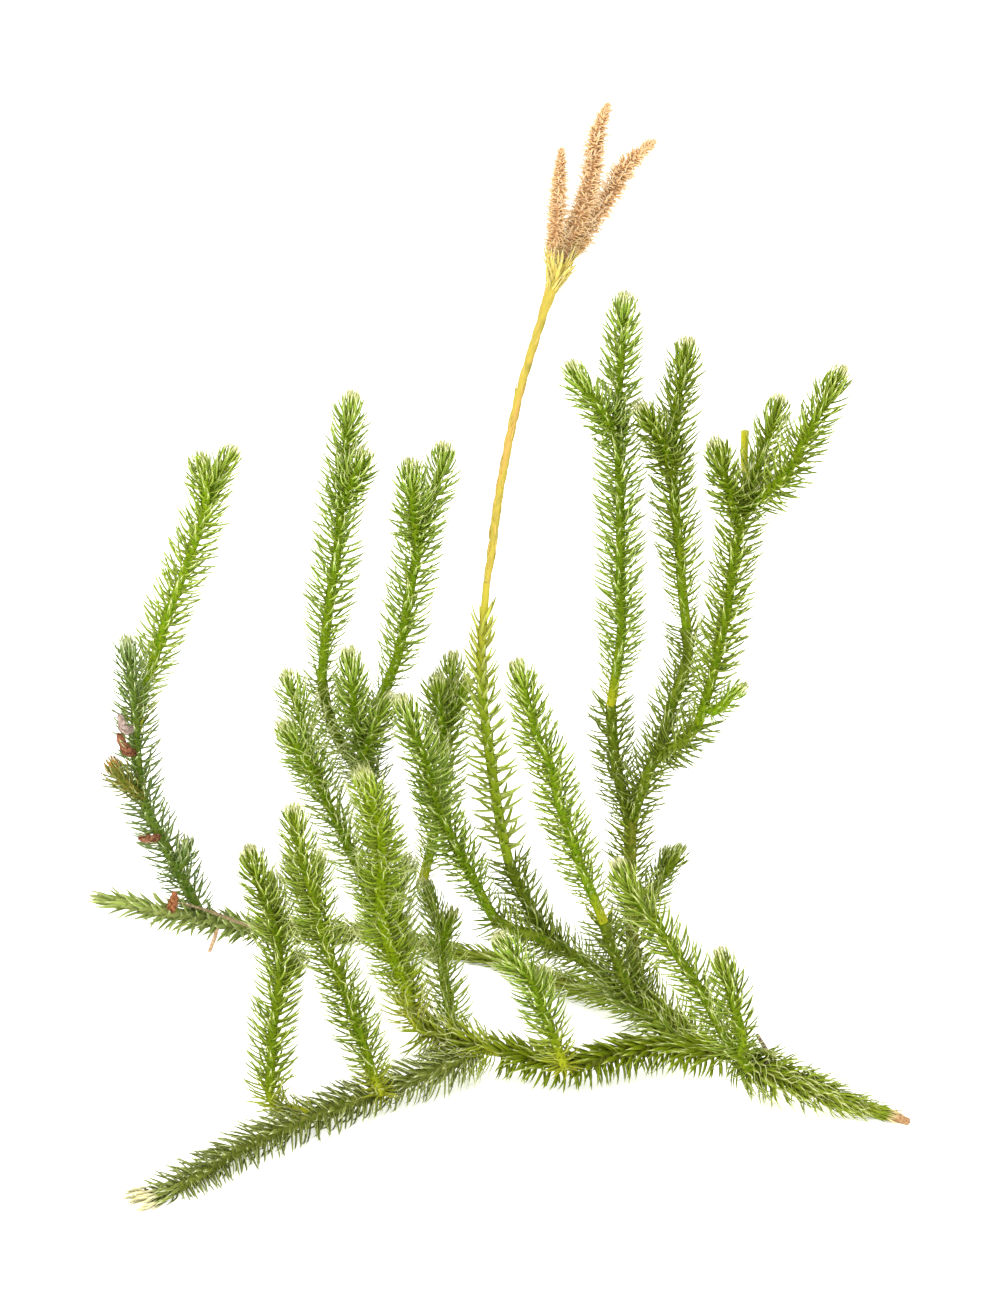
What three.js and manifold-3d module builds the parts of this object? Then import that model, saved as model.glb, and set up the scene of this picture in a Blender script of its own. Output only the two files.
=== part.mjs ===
// A picked sprig of creeping clubmoss: runners, upright leafy shoots, and one tall stalk with three cones.
// Millimetres, +Z up. The origin is on the ground under the middle of the plant, -Y is its front.
import * as THREE from 'three'
import { mergeVertices } from 'three/addons/utils/BufferGeometryUtils.js'
import Module from 'manifold-3d'

const wasm = await Module()
wasm.setup()

// Places are given as the plant is seen from the front, 25 degrees above the ground:
// [across, up, back] in mm, with up measured in the view and back along the ground.
const VIEW_TILT = THREE.MathUtils.degToRad(25)
const MIDDLE = { across: -0.4, back: 64.5 }

// Driving sizes
const OLD_RADIUS = 1.25
const YOUNG_RADIUS = 1.1
const TIP_RADIUS = 0.7
const RUNNER_TIP_RADIUS = 1.1
const OLD_TAPER = 0.95
const RANKS = 5
const LONGEST_SPAN = 16
const LEAF_LENGTH = 5.2
const LEAF_ROOT = 0.46
const LEAF_SPACING = 2.9
const FIRST_LEAF = 1.6
const TURN = 2 / RANKS * 2 * Math.PI
const GAP = 0.32
const LEAF_GAP = 0.9
const GROUND_CLEARANCE = 0.35
const TUFT_REACH = 34
const TUFT_LEAVES = 3
const TUFT_SHARE = 0.85
const TUFT_SPREAD = 1.3

// How far the leaves lean away from their stem, in degrees, well below a growing tip and in the tuft at it.
const LEAN = {
  young: [66, 22],
  old: [62, 34],
  runner: [48, 24],
  sparse: [52, 52],
  pressed: [40, 22],
}
// How far the tuft's leaves reach beyond the end of their stem
const TUFT_LENGTH = { young: 1.5, old: 1.8, runner: 4, pressed: 2.6 }

const COLOURS = {
  young_green: [0x7ba62f, 0.55],
  mature_green: [0x55802a, 0.55],
  dark_green: [0x3c5c27, 0.6],
  runner_green: [0x6b7a3a, 0.65],
  stalk_yellow: [0xc9b545, 0.6],
  cone_tan: [0xd9a468, 0.8],
  dry_brown: [0x7a4a2e, 0.8],
}

// Every leafy node: what it grows from, its colour, and its stems from base to tip.
const STEMS = {
  front_runner: {
    colour: 'mature_green', habit: 'runner', radius: 1.35,
    stems: [[[52, 33.2, 57.5], [46.4, 33.6, 60.5], [37, 34.8, 65], [25.5, 32.6, 62], [15.8, 30.4, 59],
      [8.4, 31.9, 61.5], [0.7, 33.4, 63], [-6.8, 35.2, 64], [-13, 37, 64], [-17, 38.6, 64]]],
  },
  right_runner: {
    grows_from: ['front_runner'], colour: 'runner_green', habit: 'runner', radius: 1.45,
    stems: [[[52, 33.2, 57.5], [57.9, 29.9, 51.4], [63, 28, 49.5], [68.4, 26, 46.5], [75.5, 23.1, 44.5],
      [82, 21, 44.8], [86.6, 19.6, 43.8]]],
  },
  cut_end: {
    grows_from: ['right_runner'], colour: 'dry_brown', leafless: true, radius: 1.3,
    stems: [[[86.6, 19.6, 43.8], [88.6, 18.9, 42.6], [90.6, 18.2, 41]]],
  },
  left_runner: {
    grows_from: ['front_runner'], colour: 'runner_green', habit: 'runner', radius: 1.35, tip: true,
    stems: [[[-4, 34.5, 63.5], [-11, 30.4, 57], [-22, 26.2, 52], [-40, 19.6, 37.5], [-54, 13.6, 25],
      [-66, 6.4, 11.5], [-71.3, 3.5, 6], [-76.5, 1.75, 2.4]]],
  },
  trunk: {
    grows_from: ['front_runner'], colour: 'runner_green', habit: 'old', radius: 1.45,
    stems: [[[46.4, 33.6, 60.5], [42.5, 37, 67], [37, 42.3, 71], [32.1, 47.3, 74], [30.4, 55, 77],
      [29.5, 66, 79], [29.5, 80.5, 81], [29.5, 85.5, 82]]],
  },
  diagonal_stem: {
    grows_from: ['front_runner', 'trunk'], colour: 'dark_green', habit: 'old', radius: 1.25,
    stems: [[[43, 34.4, 62], [37, 38.4, 66], [29.5, 44, 71], [20.5, 52.4, 75], [13.9, 56.6, 77],
      [10.3, 59.8, 78], [6.4, 66.7, 79], [3.5, 72.8, 79], [2.6, 75.5, 79]]],
  },
  back_runner: {
    grows_from: ['trunk'], colour: 'runner_green', habit: 'runner', radius: 1.3, tip: true,
    stems: [[[42.5, 37, 67], [40, 38.4, 76], [36, 40.5, 84], [31.5, 42.9, 90], [19.6, 46.6, 103],
      [9.5, 49.4, 112.5], [1, 52.3, 121.7], [-4.5, 53.6, 125], [-10, 54.3, 126.6], [-17, 56.4, 124],
      [-29, 59, 116], [-42, 59.8, 101], [-53.2, 60.5, 87], [-60.9, 62, 76], [-67.1, 63.4, 68.5],
      [-73.3, 64.5, 62.6], [-79.4, 65.8, 58.1], [-88, 67.6, 56]]],
  },
  big_shoot: {
    grows_from: ['front_runner'], colour: 'young_green', habit: 'young', radius: 1.3, tip: true,
    stems: [[[-17, 38.6, 64], [-18.9, 41.5, 64], [-20.5, 48.2, 63.5], [-23.3, 55.2, 62.5],
      [-25.7, 64.9, 61], [-25.3, 74.4, 59.5], [-25.5, 79.6, 58.5], [-26.8, 85.8, 57], [-29.7, 95, 55]]],
  },
  big_shoot_left: {
    grows_from: ['big_shoot'], colour: 'mature_green', habit: 'young', tip: true,
    stems: [[[-24.3, 58, 62], [-26.6, 64.7, 64.5], [-31, 74.8, 66], [-34.3, 82.5, 66], [-37.8, 89.6, 65.5],
      [-40.3, 97, 65], [-42.7, 105.8, 64], [-46, 117, 63]],
    [[-38.6, 92, 65.3], [-41, 96, 61], [-43.6, 100, 58.5], [-47.1, 105.8, 56.5]]],
  },
  big_shoot_right: {
    grows_from: ['big_shoot'], colour: 'young_green', habit: 'young', tip: true,
    stems: [[[-19, 42.5, 64], [-19.4, 47.5, 67], [-20.8, 56, 69], [-21.8, 66, 69.5], [-19.6, 76, 69.5]]],
  },
  left_old_stems: {
    grows_from: ['big_shoot'], colour: 'dark_green', habit: 'old',
    stems: [[[-22.6, 53.5, 63], [-24.5, 60, 69.5], [-25.5, 69, 76.5], [-26, 78, 78], [-27, 88, 78],
      [-28.6, 97, 77], [-27.6, 104.5, 77], [-26, 111, 77.5]],
    [[-27.5, 91, 77.8], [-31, 96.5, 78.3], [-34.5, 101.2, 79], [-37.4, 109, 79.5], [-38.6, 115.5, 79]]],
  },
  tall_left_shoot: {
    grows_from: ['left_old_stems'], colour: 'mature_green', habit: 'young', tip: true,
    stems: [[[-38.6, 115.5, 79], [-37.7, 125.4, 79.5], [-36.6, 134.4, 80], [-35.2, 143.2, 80.5],
      [-34.4, 152.2, 81], [-33.7, 161.3, 81.5], [-31.8, 178, 82]],
    [[-34.2, 153, 81], [-32.4, 157.5, 77.5], [-30.3, 162.1, 75], [-29.2, 165.6, 74]]],
  },
  mid_left_shoot: {
    grows_from: ['left_old_stems'], colour: 'mature_green', habit: 'young', tip: true,
    stems: [[[-26, 111, 77.5], [-22.6, 118.6, 78], [-20.7, 126.3, 78.5], [-19.3, 134.4, 79],
      [-16.7, 147.8, 79.5], [-14.9, 153.6, 80], [-12.6, 160, 80.5], [-11.6, 167, 81]],
    [[-17.4, 144, 79.3], [-18.1, 150, 76], [-18.6, 156, 73.5], [-19, 163.2, 72.5]]],
  },
  inner_shoot: {
    grows_from: ['left_old_stems'], colour: 'mature_green', habit: 'young', tip: true,
    stems: [[[-28.4, 95.5, 77], [-29.6, 100, 72.8], [-31.5, 110.4, 69], [-32.3, 122, 68]],
      [[-29.6, 99.5, 72.3], [-28, 102.5, 69.5], [-26.3, 106.5, 68.5], [-22.9, 111.4, 69]]],
  },
  leaning_old_stem: {
    grows_from: ['diagonal_stem'], colour: 'dark_green', habit: 'old',
    stems: [[[15.4, 55.8, 76.5], [12.5, 56.8, 74], [9, 58.6, 72.5], [3.5, 60.3, 72], [-0.9, 63.2, 72]]],
  },
  leaning_shoot: {
    grows_from: ['leaning_old_stem'], colour: 'mature_green', habit: 'young', tip: true,
    stems: [[[-0.9, 63.2, 72], [-4, 69.1, 71], [-10.3, 81.2, 68.5], [-13.4, 88.4, 67], [-15.6, 97.5, 65],
      [-18.9, 105.4, 63], [-20.6, 111.5, 62]]],
  },
  rear_old_stem: {
    grows_from: ['front_runner'], colour: 'dark_green', habit: 'old',
    stems: [[[-10, 36.2, 64], [-10.6, 43, 69], [-11.7, 49.3, 73], [-12.5, 55.7, 77], [-13, 61.4, 79.5],
      [-16.4, 71, 82]],
    [[-12.7, 57, 77.5], [-11, 60.5, 76.5], [-9.9, 64.3, 75]]],
  },
  rear_shoot: {
    grows_from: ['rear_old_stem'], colour: 'mature_green', habit: 'young', tip: true,
    stems: [[[-16.4, 71, 82], [-14.5, 78.5, 83.5], [-12.8, 87, 84.5], [-11.7, 96.6, 85], [-11.2, 102, 85.5],
      [-10.3, 108.7, 86], [-9.6, 121, 86.5]],
    [[-11.4, 101, 85.4], [-12.5, 108, 82.5], [-13.4, 116, 80.5]],
    [[-10.3, 108, 86], [-8.1, 111.5, 84], [-6.2, 115.5, 82.5]]],
  },
  leafy_stalk: {
    grows_from: ['diagonal_stem'], colour: 'young_green', habit: 'sparse', radius: 1.1, end_radius: 0.75,
    leaf_spacing: 4.2, leaf_length: 3.6,
    stems: [[[2.6, 75.5, 79], [1.1, 82.3, 78.5], [-0.2, 89.5, 78], [-2.2, 103.8, 77], [-3.1, 110.9, 76.5],
      [-3.5, 118.1, 76], [-3.1, 126, 75.5], [-2.2, 137.1, 75.5]]],
  },
  slanting_old_stem: {
    grows_from: ['diagonal_stem'], colour: 'dark_green', habit: 'old',
    stems: [[[30, 43.8, 70.8], [28.8, 48, 69.5], [27.3, 51.5, 69], [24.2, 59.4, 69], [23.5, 62, 69]]],
  },
  slanting_shoot: {
    grows_from: ['slanting_old_stem'], colour: 'young_green', habit: 'young', tip: true,
    stems: [[[23.5, 62, 69], [20.9, 68.4, 69], [18.5, 74.1, 69], [16.1, 81, 68.5], [13.6, 88.4, 68],
      [11.9, 96.1, 67.5], [9, 102.7, 67], [6.2, 112.4, 66.5], [4.4, 119.2, 66]]],
  },
  small_front_shoot: {
    grows_from: ['front_runner'], colour: 'young_green', habit: 'young', tip: true,
    stems: [[[15.4, 30.3, 58.7], [14.6, 31, 55], [13.4, 34.1, 53.5], [10.3, 42, 52.5], [7.3, 49.3, 52],
      [4.8, 52.4, 51.5], [0.3, 59, 50.5]],
    [[9.4, 44.5, 52.4], [9.9, 48.2, 55.5], [10.3, 51.3, 57]]],
  },
  outer_left_shoot: {
    grows_from: ['left_runner'], colour: 'mature_green', habit: 'young', tip: true,
    stems: [[[-40.5, 19.6, 37.8], [-44, 20.8, 38.6], [-47.6, 21.3, 38.2], [-49.7, 23.5, 37.8],
      [-49.7, 31.5, 38.5], [-49.3, 38.7, 39.5], [-48, 48.2, 41], [-48, 56.5, 42.5], [-50.2, 65.6, 43],
      [-52.1, 70.2, 42.5], [-54.4, 78.4, 41.5]],
    [[-48.1, 59, 42.8], [-48, 63.4, 46], [-49.1, 69.1, 49.5], [-50.1, 72.6, 51.5]],
    [[-48.2, 46.5, 40.8], [-46.6, 49.5, 43.5], [-44.4, 53, 45.5], [-42.7, 55.2, 46.5]]],
  },
  inner_left_shoot: {
    grows_from: ['left_runner'], colour: 'young_green', habit: 'young', tip: true,
    stems: [[[-25.4, 25, 49.5], [-25.8, 24.6, 46], [-26.6, 26.5, 44.3], [-30.1, 37.2, 42],
      [-32.1, 43.3, 40.5], [-35, 50.6, 39], [-37.8, 57.6, 38], [-39.6, 64.9, 37], [-41.1, 70.6, 36.5],
      [-42.9, 76.8, 36], [-44.8, 87.6, 35]],
    [[-39.7, 65.3, 37], [-39.7, 69, 40.5], [-39.4, 72.5, 42.5], [-39, 77.5, 43.5]],
    [[-38.4, 60, 37.7], [-41, 65, 41], [-43.6, 70.5, 44], [-45.9, 76.5, 46]]],
  },
  tall_old_stem: {
    grows_from: ['trunk'], colour: 'dark_green', habit: 'old',
    stems: [[[29.3, 83.6, 81.6], [28.2, 88.2, 82.6], [27.1, 93.1, 83], [26, 98.6, 83.5], [25.1, 110, 84]]],
  },
  tall_shoot: {
    grows_from: ['tall_old_stem'], colour: 'mature_green', habit: 'young', tip: true,
    stems: [[[25.1, 110, 84], [26.4, 118.6, 84.5], [27.3, 125.8, 85], [27.1, 136.6, 85.5],
      [27.1, 148.7, 86], [26.8, 160.6, 86], [26.4, 172.9, 86], [27.1, 184.4, 86], [28.1, 199.8, 86]],
    [[26.5, 167, 86], [25, 171, 83], [22.9, 174.5, 81], [18.9, 179.4, 79.5], [16.1, 184.6, 79]]],
  },
  second_old_stem: {
    grows_from: ['trunk', 'tall_old_stem'], colour: 'dark_green', habit: 'old',
    stems: [[[29.5, 84, 81.8], [31.2, 88.9, 81.2], [33.2, 94.8, 80.6], [35.4, 99.4, 80.4],
      [38.7, 110.4, 81], [42, 120.3, 83], [41.8, 127, 84]]],
  },
  second_shoot: {
    grows_from: ['second_old_stem'], colour: 'mature_green', habit: 'young', tip: true,
    stems: [[[41.8, 127, 84], [40.7, 136.6, 86], [40, 146.3, 88], [38.9, 155.8, 89.5], [38.9, 163, 90.5],
      [38.9, 172.9, 91], [40.7, 181.9, 91.5], [41.7, 190, 92]],
    [[38.9, 160, 90], [37.5, 164.5, 86.5], [36.2, 167.5, 84.5], [33.9, 171.2, 82], [31.5, 175.6, 80.5]]],
  },
  crown_old_stem: {
    grows_from: ['second_old_stem'], colour: 'dark_green', habit: 'old',
    stems: [[[34.6, 97.6, 80.5], [37.5, 99.8, 77.5], [39.4, 101, 76], [42.2, 103.2, 74.8],
      [44.4, 106, 74]]],
  },
  crown_shoot: {
    grows_from: ['crown_old_stem'], colour: 'mature_green', habit: 'young', tip: true,
    stems: [[[44.4, 106, 74], [46.6, 113.1, 73], [48, 118.6, 72.5], [49.7, 126.5, 72], [50.8, 132, 72],
      [51.9, 141.5, 72], [53.8, 151.1, 72], [55.8, 158.2, 72.8], [58.6, 165.4, 74.5], [62, 177.3, 77]],
    [[53.4, 149.5, 72], [51.2, 156, 68.5], [49.3, 161.5, 66], [47.9, 167.6, 64.5]],
    [[54.1, 152.5, 72], [58.2, 156.2, 69.5], [63.2, 160.6, 67.5], [69, 171.2, 66], [75.3, 183.3, 65]]],
  },
  crown_side_shoot: {
    grows_from: ['crown_shoot'], colour: 'mature_green', habit: 'young', tip: true,
    stems: [[[45.6, 109.5, 73.5], [48, 108.8, 70.5], [50, 110.2, 69], [52.1, 112.6, 68],
      [54, 114.2, 67]]],
  },
  crown_young_shoot: {
    grows_from: ['crown_shoot'], colour: 'stalk_yellow', habit: 'pressed', radius: 0.8, end_radius: 0.9, tip: true,
    leaf_length: 3.2,
    stems: [[[55.6, 158, 72.9], [54.5, 161, 75.8], [54.2, 164.5, 77.5], [54.4, 170.2, 79]]],
  },
  short_dark_shoot: {
    grows_from: ['trunk'], colour: 'dark_green', habit: 'old', tip: true,
    stems: [[[29.8, 61, 78.1], [32, 64, 80.8], [34.8, 68, 82.6], [36.8, 73.5, 83.6], [37.9, 77.8, 84]],
      [[36.5, 72.3, 83.5], [38.8, 75, 81.5], [40.6, 78.2, 80.5]]],
  },
  right_shoot: {
    grows_from: ['right_runner'], colour: 'young_green', habit: 'young', tip: true,
    stems: [[[56.6, 30.6, 52.6], [55.6, 30, 49.5], [52.6, 33.6, 49], [49.3, 38.5, 50], [46.4, 44.2, 51.5],
      [43.1, 49.9, 53], [38.7, 56.1, 55], [34.1, 62.7, 57], [29.3, 68.9, 59], [26.2, 75, 60.5]]],
  },
  right_small_shoot: {
    grows_from: ['right_shoot'], colour: 'young_green', habit: 'young', tip: true,
    stems: [[[53.2, 32.9, 49], [54, 36, 46.3], [53.5, 39.3, 45.2], [52.1, 44.2, 44.4], [49, 55.8, 43.6]]],
  },
  far_left_old_stem: {
    grows_from: ['back_runner'], colour: 'dark_green', habit: 'old', tip: true,
    stems: [[[-65, 62.9, 71], [-67, 67, 70], [-71.7, 76.3, 69], [-74.1, 81, 68.5], [-77, 86.7, 68],
      [-78.5, 92.8, 67.5], [-79.2, 100.1, 67], [-79.4, 107.1, 66.5], [-81.2, 124.4, 64.4]],
    [[-78, 90, 67.8], [-80.3, 91.6, 65.5], [-82.7, 93.9, 64], [-84.7, 97.4, 63]],
    [[-70.5, 74, 69.3], [-68.8, 76.5, 66.8], [-68.8, 80, 65.5]]],
  },
  far_left_shoot: {
    grows_from: ['far_left_old_stem'], colour: 'young_green', habit: 'young', tip: true,
    stems: [[[-79.3, 104, 66.8], [-78.6, 109, 69.5], [-77.4, 114.4, 71.5], [-75.4, 120, 72.5],
      [-72.2, 130.2, 72.5], [-68.2, 140.6, 72.5], [-64.7, 150.3, 72.5], [-61.6, 159.3, 73.5],
      [-57.8, 166.2, 75]],
    [[-63.8, 153, 72.6], [-64, 158, 70], [-65.5, 164.3, 67.5]]],
  },
}

// The bare yellow stalk with its flared top, and the three cones on it.
const STALK = {
  path: [[-2.2, 137.1, 75.5], [-0.9, 146, 76], [0.2, 154.8, 77], [2.8, 168.9, 78.5], [5.5, 180.6, 80],
    [8.5, 190.4, 81.5], [11.1, 198.8, 83], [12.9, 203.6, 84.5], [13.7, 207.4, 85]],
  radii: [0.75, 0.93, 0.93, 0.93, 0.93, 0.93, 0.93, 0.93, 0.93, 0.93, 1, 1.45, 2.6],
  habit: 'pressed', leaf_spacing: 5, leaf_length: 3,
}
const CONES = {
  centre_cone: {
    rests_on: ['stalk'], radius: 2.1,
    path: [[14.3, 207.9, 85.3], [16.5, 213.4, 85.8], [19.4, 220.5, 86.2], [20.9, 227.5, 86.6], [22, 235.5, 87],
      [24.4, 241.4, 87.5]],
  },
  left_cone: {
    rests_on: ['stalk', 'centre_cone'], radius: 1.75,
    path: [[12.3, 207.7, 84.6], [12.9, 213, 83.4], [13.4, 222, 82], [14.1, 231.6, 81]],
  },
  right_cone: {
    rests_on: ['stalk', 'centre_cone'], radius: 1.9,
    path: [[15.8, 207.9, 85.8], [20.4, 215.4, 89], [24.4, 221.3, 90.5], [28.2, 227.9, 91.5], [34.6, 233.6, 93]],
  },
}
const SCALE_STEP = 1.3
const SCALE_SIDES = 8
const SCALE_RISE = 0.36
const SCALE_LIFT = 0.75
const CONE_TAPER = 0.7

// Small things that grow on the stems: a rootlet, a dry twig, and brown bud scales.
const SMALL_THINGS = {
  rootlet: {
    grows_from: ['back_runner'], colour: 'dry_brown', radii: [0.5, 0.45, 0.4],
    path: [[-61.6, 61.9, 75.2], [-62.4, 58.6, 75.4], [-63.6, 55.4, 75.6]],
  },
  dry_twig: {
    grows_from: ['right_runner'], colour: 'dry_brown', radii: [0.6, 0.5, 0.4],
    path: [[59.2, 29.5, 50.8], [59.6, 33, 53.5], [57.2, 37.4, 56]],
  },
  bud_scale_1: {
    grows_from: ['far_left_old_stem'], colour: 'dry_brown', radii: [0.7, 1.2, 0.4],
    path: [[-79.4, 105.5, 66.6], [-81.4, 104.4, 64.4], [-82.6, 107, 63]],
  },
  bud_scale_2: {
    grows_from: ['far_left_old_stem'], colour: 'dry_brown', radii: [0.7, 1.3, 0.4],
    path: [[-79.2, 99.5, 67], [-81.2, 99.9, 64.2], [-82.8, 102.8, 63]],
  },
  bud_scale_3: {
    grows_from: ['far_left_old_stem'], colour: 'dry_brown', radii: [0.6, 1.0, 0.35],
    path: [[-74.4, 81.5, 68.4], [-75.4, 80.6, 65.6], [-78, 80.6, 64]],
  },
  bud_scale_4: {
    grows_from: ['back_runner'], colour: 'dry_brown', radii: [0.7, 1.3, 0.4],
    path: [[-71.8, 64.2, 64], [-71.6, 65.6, 61.6], [-71, 68, 60.4]],
  },
}

const sine = Math.sin(VIEW_TILT)
const cosine = Math.cos(VIEW_TILT)
const spot = ([across, up, back]) =>
  new THREE.Vector3(across - MIDDLE.across, back - MIDDLE.back, (up - back * sine) / cosine)
const curveOf = (points) => new THREE.CatmullRomCurve3(points.map(spot), false, 'centripetal')

// A closed solid from a geometry
function solidOf(geometry) {
  geometry.deleteAttribute('normal')
  geometry.deleteAttribute('uv')
  const merged = mergeVertices(geometry, 1e-5)
  return new wasm.Manifold(new wasm.Mesh({
    numProp: 3,
    vertProperties: new Float32Array(merged.attributes.position.array),
    triVerts: new Uint32Array(merged.index.array),
  }))
}

function geometryOf(solid) {
  const mesh = solid.getMesh()
  const geometry = new THREE.BufferGeometry()
  geometry.setAttribute('position', new THREE.BufferAttribute(new Float32Array(mesh.vertProperties), 3))
  geometry.setIndex([...mesh.triVerts])
  return geometry
}

// A closed tube of loops, each a list of as many points going round the same way
function tube(loops) {
  const sides = loops[0].length
  const points = loops.flat()
  const faces = []
  loops.slice(1).forEach((_, i) => {
    for (let j = 0; j < sides; j++) {
      const [a, b] = [i * sides + j, i * sides + (j + 1) % sides]
      faces.push(a, b, b + sides, a, b + sides, a + sides)
    }
  })
  const last = (loops.length - 1) * sides
  for (let j = 1; j < sides - 1; j++) {
    faces.push(0, j + 1, j, last, last + j, last + j + 1)
  }
  const geometry = new THREE.BufferGeometry().setFromPoints(points)
  geometry.setIndex(faces)
  return solidOf(geometry)
}

// A curve's frames at the given places, turned as little as possible from one to the next
function framesAt(curve, places) {
  const frames = []
  for (const place of places) {
    const centre = curve.getPoint(place)
    const tangent = curve.getTangent(place)
    const before = frames.at(-1)
    const normal = before
      ? before.normal.clone().applyQuaternion(
        new THREE.Quaternion().setFromUnitVectors(before.tangent, tangent))
      : new THREE.Vector3(0, 0, 1).cross(tangent).normalize()
    const along = before ? before.along + centre.distanceTo(before.centre) : 0
    frames.push({ centre, tangent, normal, binormal: tangent.clone().cross(normal), along })
  }
  return frames
}

// Rings round those frames. radiusAt(share, side, ring) gives each corner's radius, liftAt its push along.
function rings(frames, sides, radiusAt, liftAt = () => 0) {
  const length = frames.at(-1).along
  return frames.map((frame, i) => Array.from({ length: sides }, (_, j) => {
    const angle = 2 * Math.PI * j / sides
    const radius = radiusAt(frame.along / length, j, i)
    return frame.centre.clone()
      .addScaledVector(frame.normal, Math.cos(angle) * radius)
      .addScaledVector(frame.binormal, Math.sin(angle) * radius)
      .addScaledVector(frame.tangent, liftAt(j, i))
  }))
}

const mix = (a, b, share) => a + (b - a) * share

// A stem's core, slimmer at a growing tip. extra makes the wider form that a neighbour is cut back with.
function coreRadius(node, share) {
  const radius = node.radius ?? (node.habit === 'young' ? YOUNG_RADIUS : OLD_RADIUS)
  const tip = node.habit === 'runner' ? RUNNER_TIP_RADIUS : TIP_RADIUS
  return mix(radius, node.end_radius ?? (node.tip ? tip : radius * OLD_TAPER), share * share)
}

// A stem's spine has a frame at each of its points, and one between two that are far apart.
function spineOf(points) {
  const curve = curveOf(points)
  const spans = points.length - 1
  const places = [0]
  for (let i = 1; i <= spans; i++) {
    const isLong = curve.getPoint((i - 1) / spans).distanceTo(curve.getPoint(i / spans)) > LONGEST_SPAN
    places.push(...(isLong ? [(i - 0.5) / spans, i / spans] : [i / spans]))
  }
  return framesAt(curve, places)
}
const core = (spine, radiusAt, extra = 0) =>
  tube(rings(spine, RANKS, (share) => radiusAt(share) + extra))

// The frame of a spine at a distance from its start
function frameOn(spine, along) {
  const i = Math.max(1, spine.findIndex((frame) => frame.along >= along))
  const [before, after] = [spine[i - 1], spine[i]]
  const share = (along - before.along) / (after.along - before.along)
  return { ...before, centre: before.centre.clone().lerp(after.centre, share) }
}

// One leaf: a three-sided needle whose root is at the stem's axis
function needle(root, tip) {
  const along = tip.clone().sub(root).normalize()
  const side = new THREE.Vector3(0, 0, 1).cross(along)
  if (side.lengthSq() < 1e-3) side.set(1, 0, 0)
  side.normalize()
  const up = along.clone().cross(side)
  const corner = (angle) => root.clone()
    .addScaledVector(side, Math.cos(angle) * LEAF_ROOT)
    .addScaledVector(up, Math.sin(angle) * LEAF_ROOT)
  const base = [0, 1, 2].map((k) => corner(2 * Math.PI * k / 3 + Math.PI / 2))
  const geometry = new THREE.BufferGeometry().setFromPoints([...base, tip])
  geometry.setIndex([0, 2, 1, 0, 1, 3, 1, 2, 3, 2, 0, 3])
  return solidOf(geometry)
}

// The shortest distance between two straight lines from a to b and from c to d
function between(a, b, c, d) {
  const [u, v, w] = [b.clone().sub(a), d.clone().sub(c), a.clone().sub(c)]
  const [uu, uv, vv, uw, vw] = [u.dot(u), u.dot(v), v.dot(v), u.dot(w), v.dot(w)]
  const bend = uu * vv - uv * uv
  const clamp = (x) => Math.min(1, Math.max(0, x))
  let s = bend > 1e-9 ? clamp((uv * vw - vv * uw) / bend) : 0
  const t = vv > 1e-9 ? clamp((uv * s + vw) / vv) : 0
  s = uu > 1e-9 ? clamp((uv * t - uw) / uu) : 0
  return w.addScaledVector(u, s).addScaledVector(v, -t).length()
}

// Everything that a leaf must stay clear of: the cores as short straight lengths, then each leaf placed.
const lengths = []
function noteCore(name, spine, radiusAt) {
  const length = spine.at(-1).along
  spine.slice(1).forEach((frame, i) => {
    const radius = radiusAt(spine[i].along / length)
    lengths.push({ name, a: spine[i].centre, b: frame.centre, clear: radius + LEAF_ROOT + GAP })
  })
}
function isClear(name, root, tip) {
  return lengths.every((other) => other.name === name
    || between(root, tip, other.a, other.b) > other.clear)
}

// Leaves round one stem in ranks, one on each face of the core in turn. One that would touch another stem
// is bent in, or left out.
const BENDS = [1, 0.75, 0.5]
function leavesAlong(name, node, spine, radiusAt) {
  const length = spine.at(-1).along
  const [low, high] = LEAN[node.habit].map(THREE.MathUtils.degToRad)
  const leaves = []
  const addIfClear = (root, tip) => {
    tip.z = Math.max(tip.z, GROUND_CLEARANCE)
    if (!isClear(name, root, tip)) return false
    leaves.push([root, tip])
    lengths.push({ name, a: root, b: tip, clear: LEAF_GAP })
    return true
  }
  const outward = (frame, turn) => frame.normal.clone().multiplyScalar(Math.cos(turn))
    .addScaledVector(frame.binormal, Math.sin(turn))
  let turn = Math.PI / RANKS
  for (let s = FIRST_LEAF; s < length - LEAF_ROOT; s += node.leaf_spacing ?? LEAF_SPACING) {
    turn += TURN
    const frame = frameOn(spine, s)
    const nearTip = node.tip ? Math.max(0, 1 - (length - s) / TUFT_REACH) : 0
    const lean = mix(low, high, nearTip)
    const full = (node.leaf_length ?? LEAF_LENGTH) * mix(1, TUFT_SHARE, nearTip) + radiusAt(s / length)
    const room = node.tip ? (length - s + TUFT_LENGTH[node.habit]) / Math.cos(lean) : full
    const reach = Math.min(full, room)
    BENDS.some((bend) => addIfClear(frame.centre, frame.centre.clone()
      .addScaledVector(frame.tangent, Math.cos(lean * bend) * reach)
      .addScaledVector(outward(frame, turn), Math.sin(lean * bend) * reach)))
  }
  if (node.tip) {
    const end = spine.at(-1)
    const root = end.centre.clone().addScaledVector(end.tangent, -TIP_RADIUS)
    for (let k = 0; k < TUFT_LEAVES; k++) {
      addIfClear(root, end.centre.clone().addScaledVector(end.tangent, TUFT_LENGTH[node.habit])
        .addScaledVector(outward(end, 2 * Math.PI * k / TUFT_LEAVES + turn), TUFT_SPREAD))
    }
  }
  return leaves
}

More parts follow.
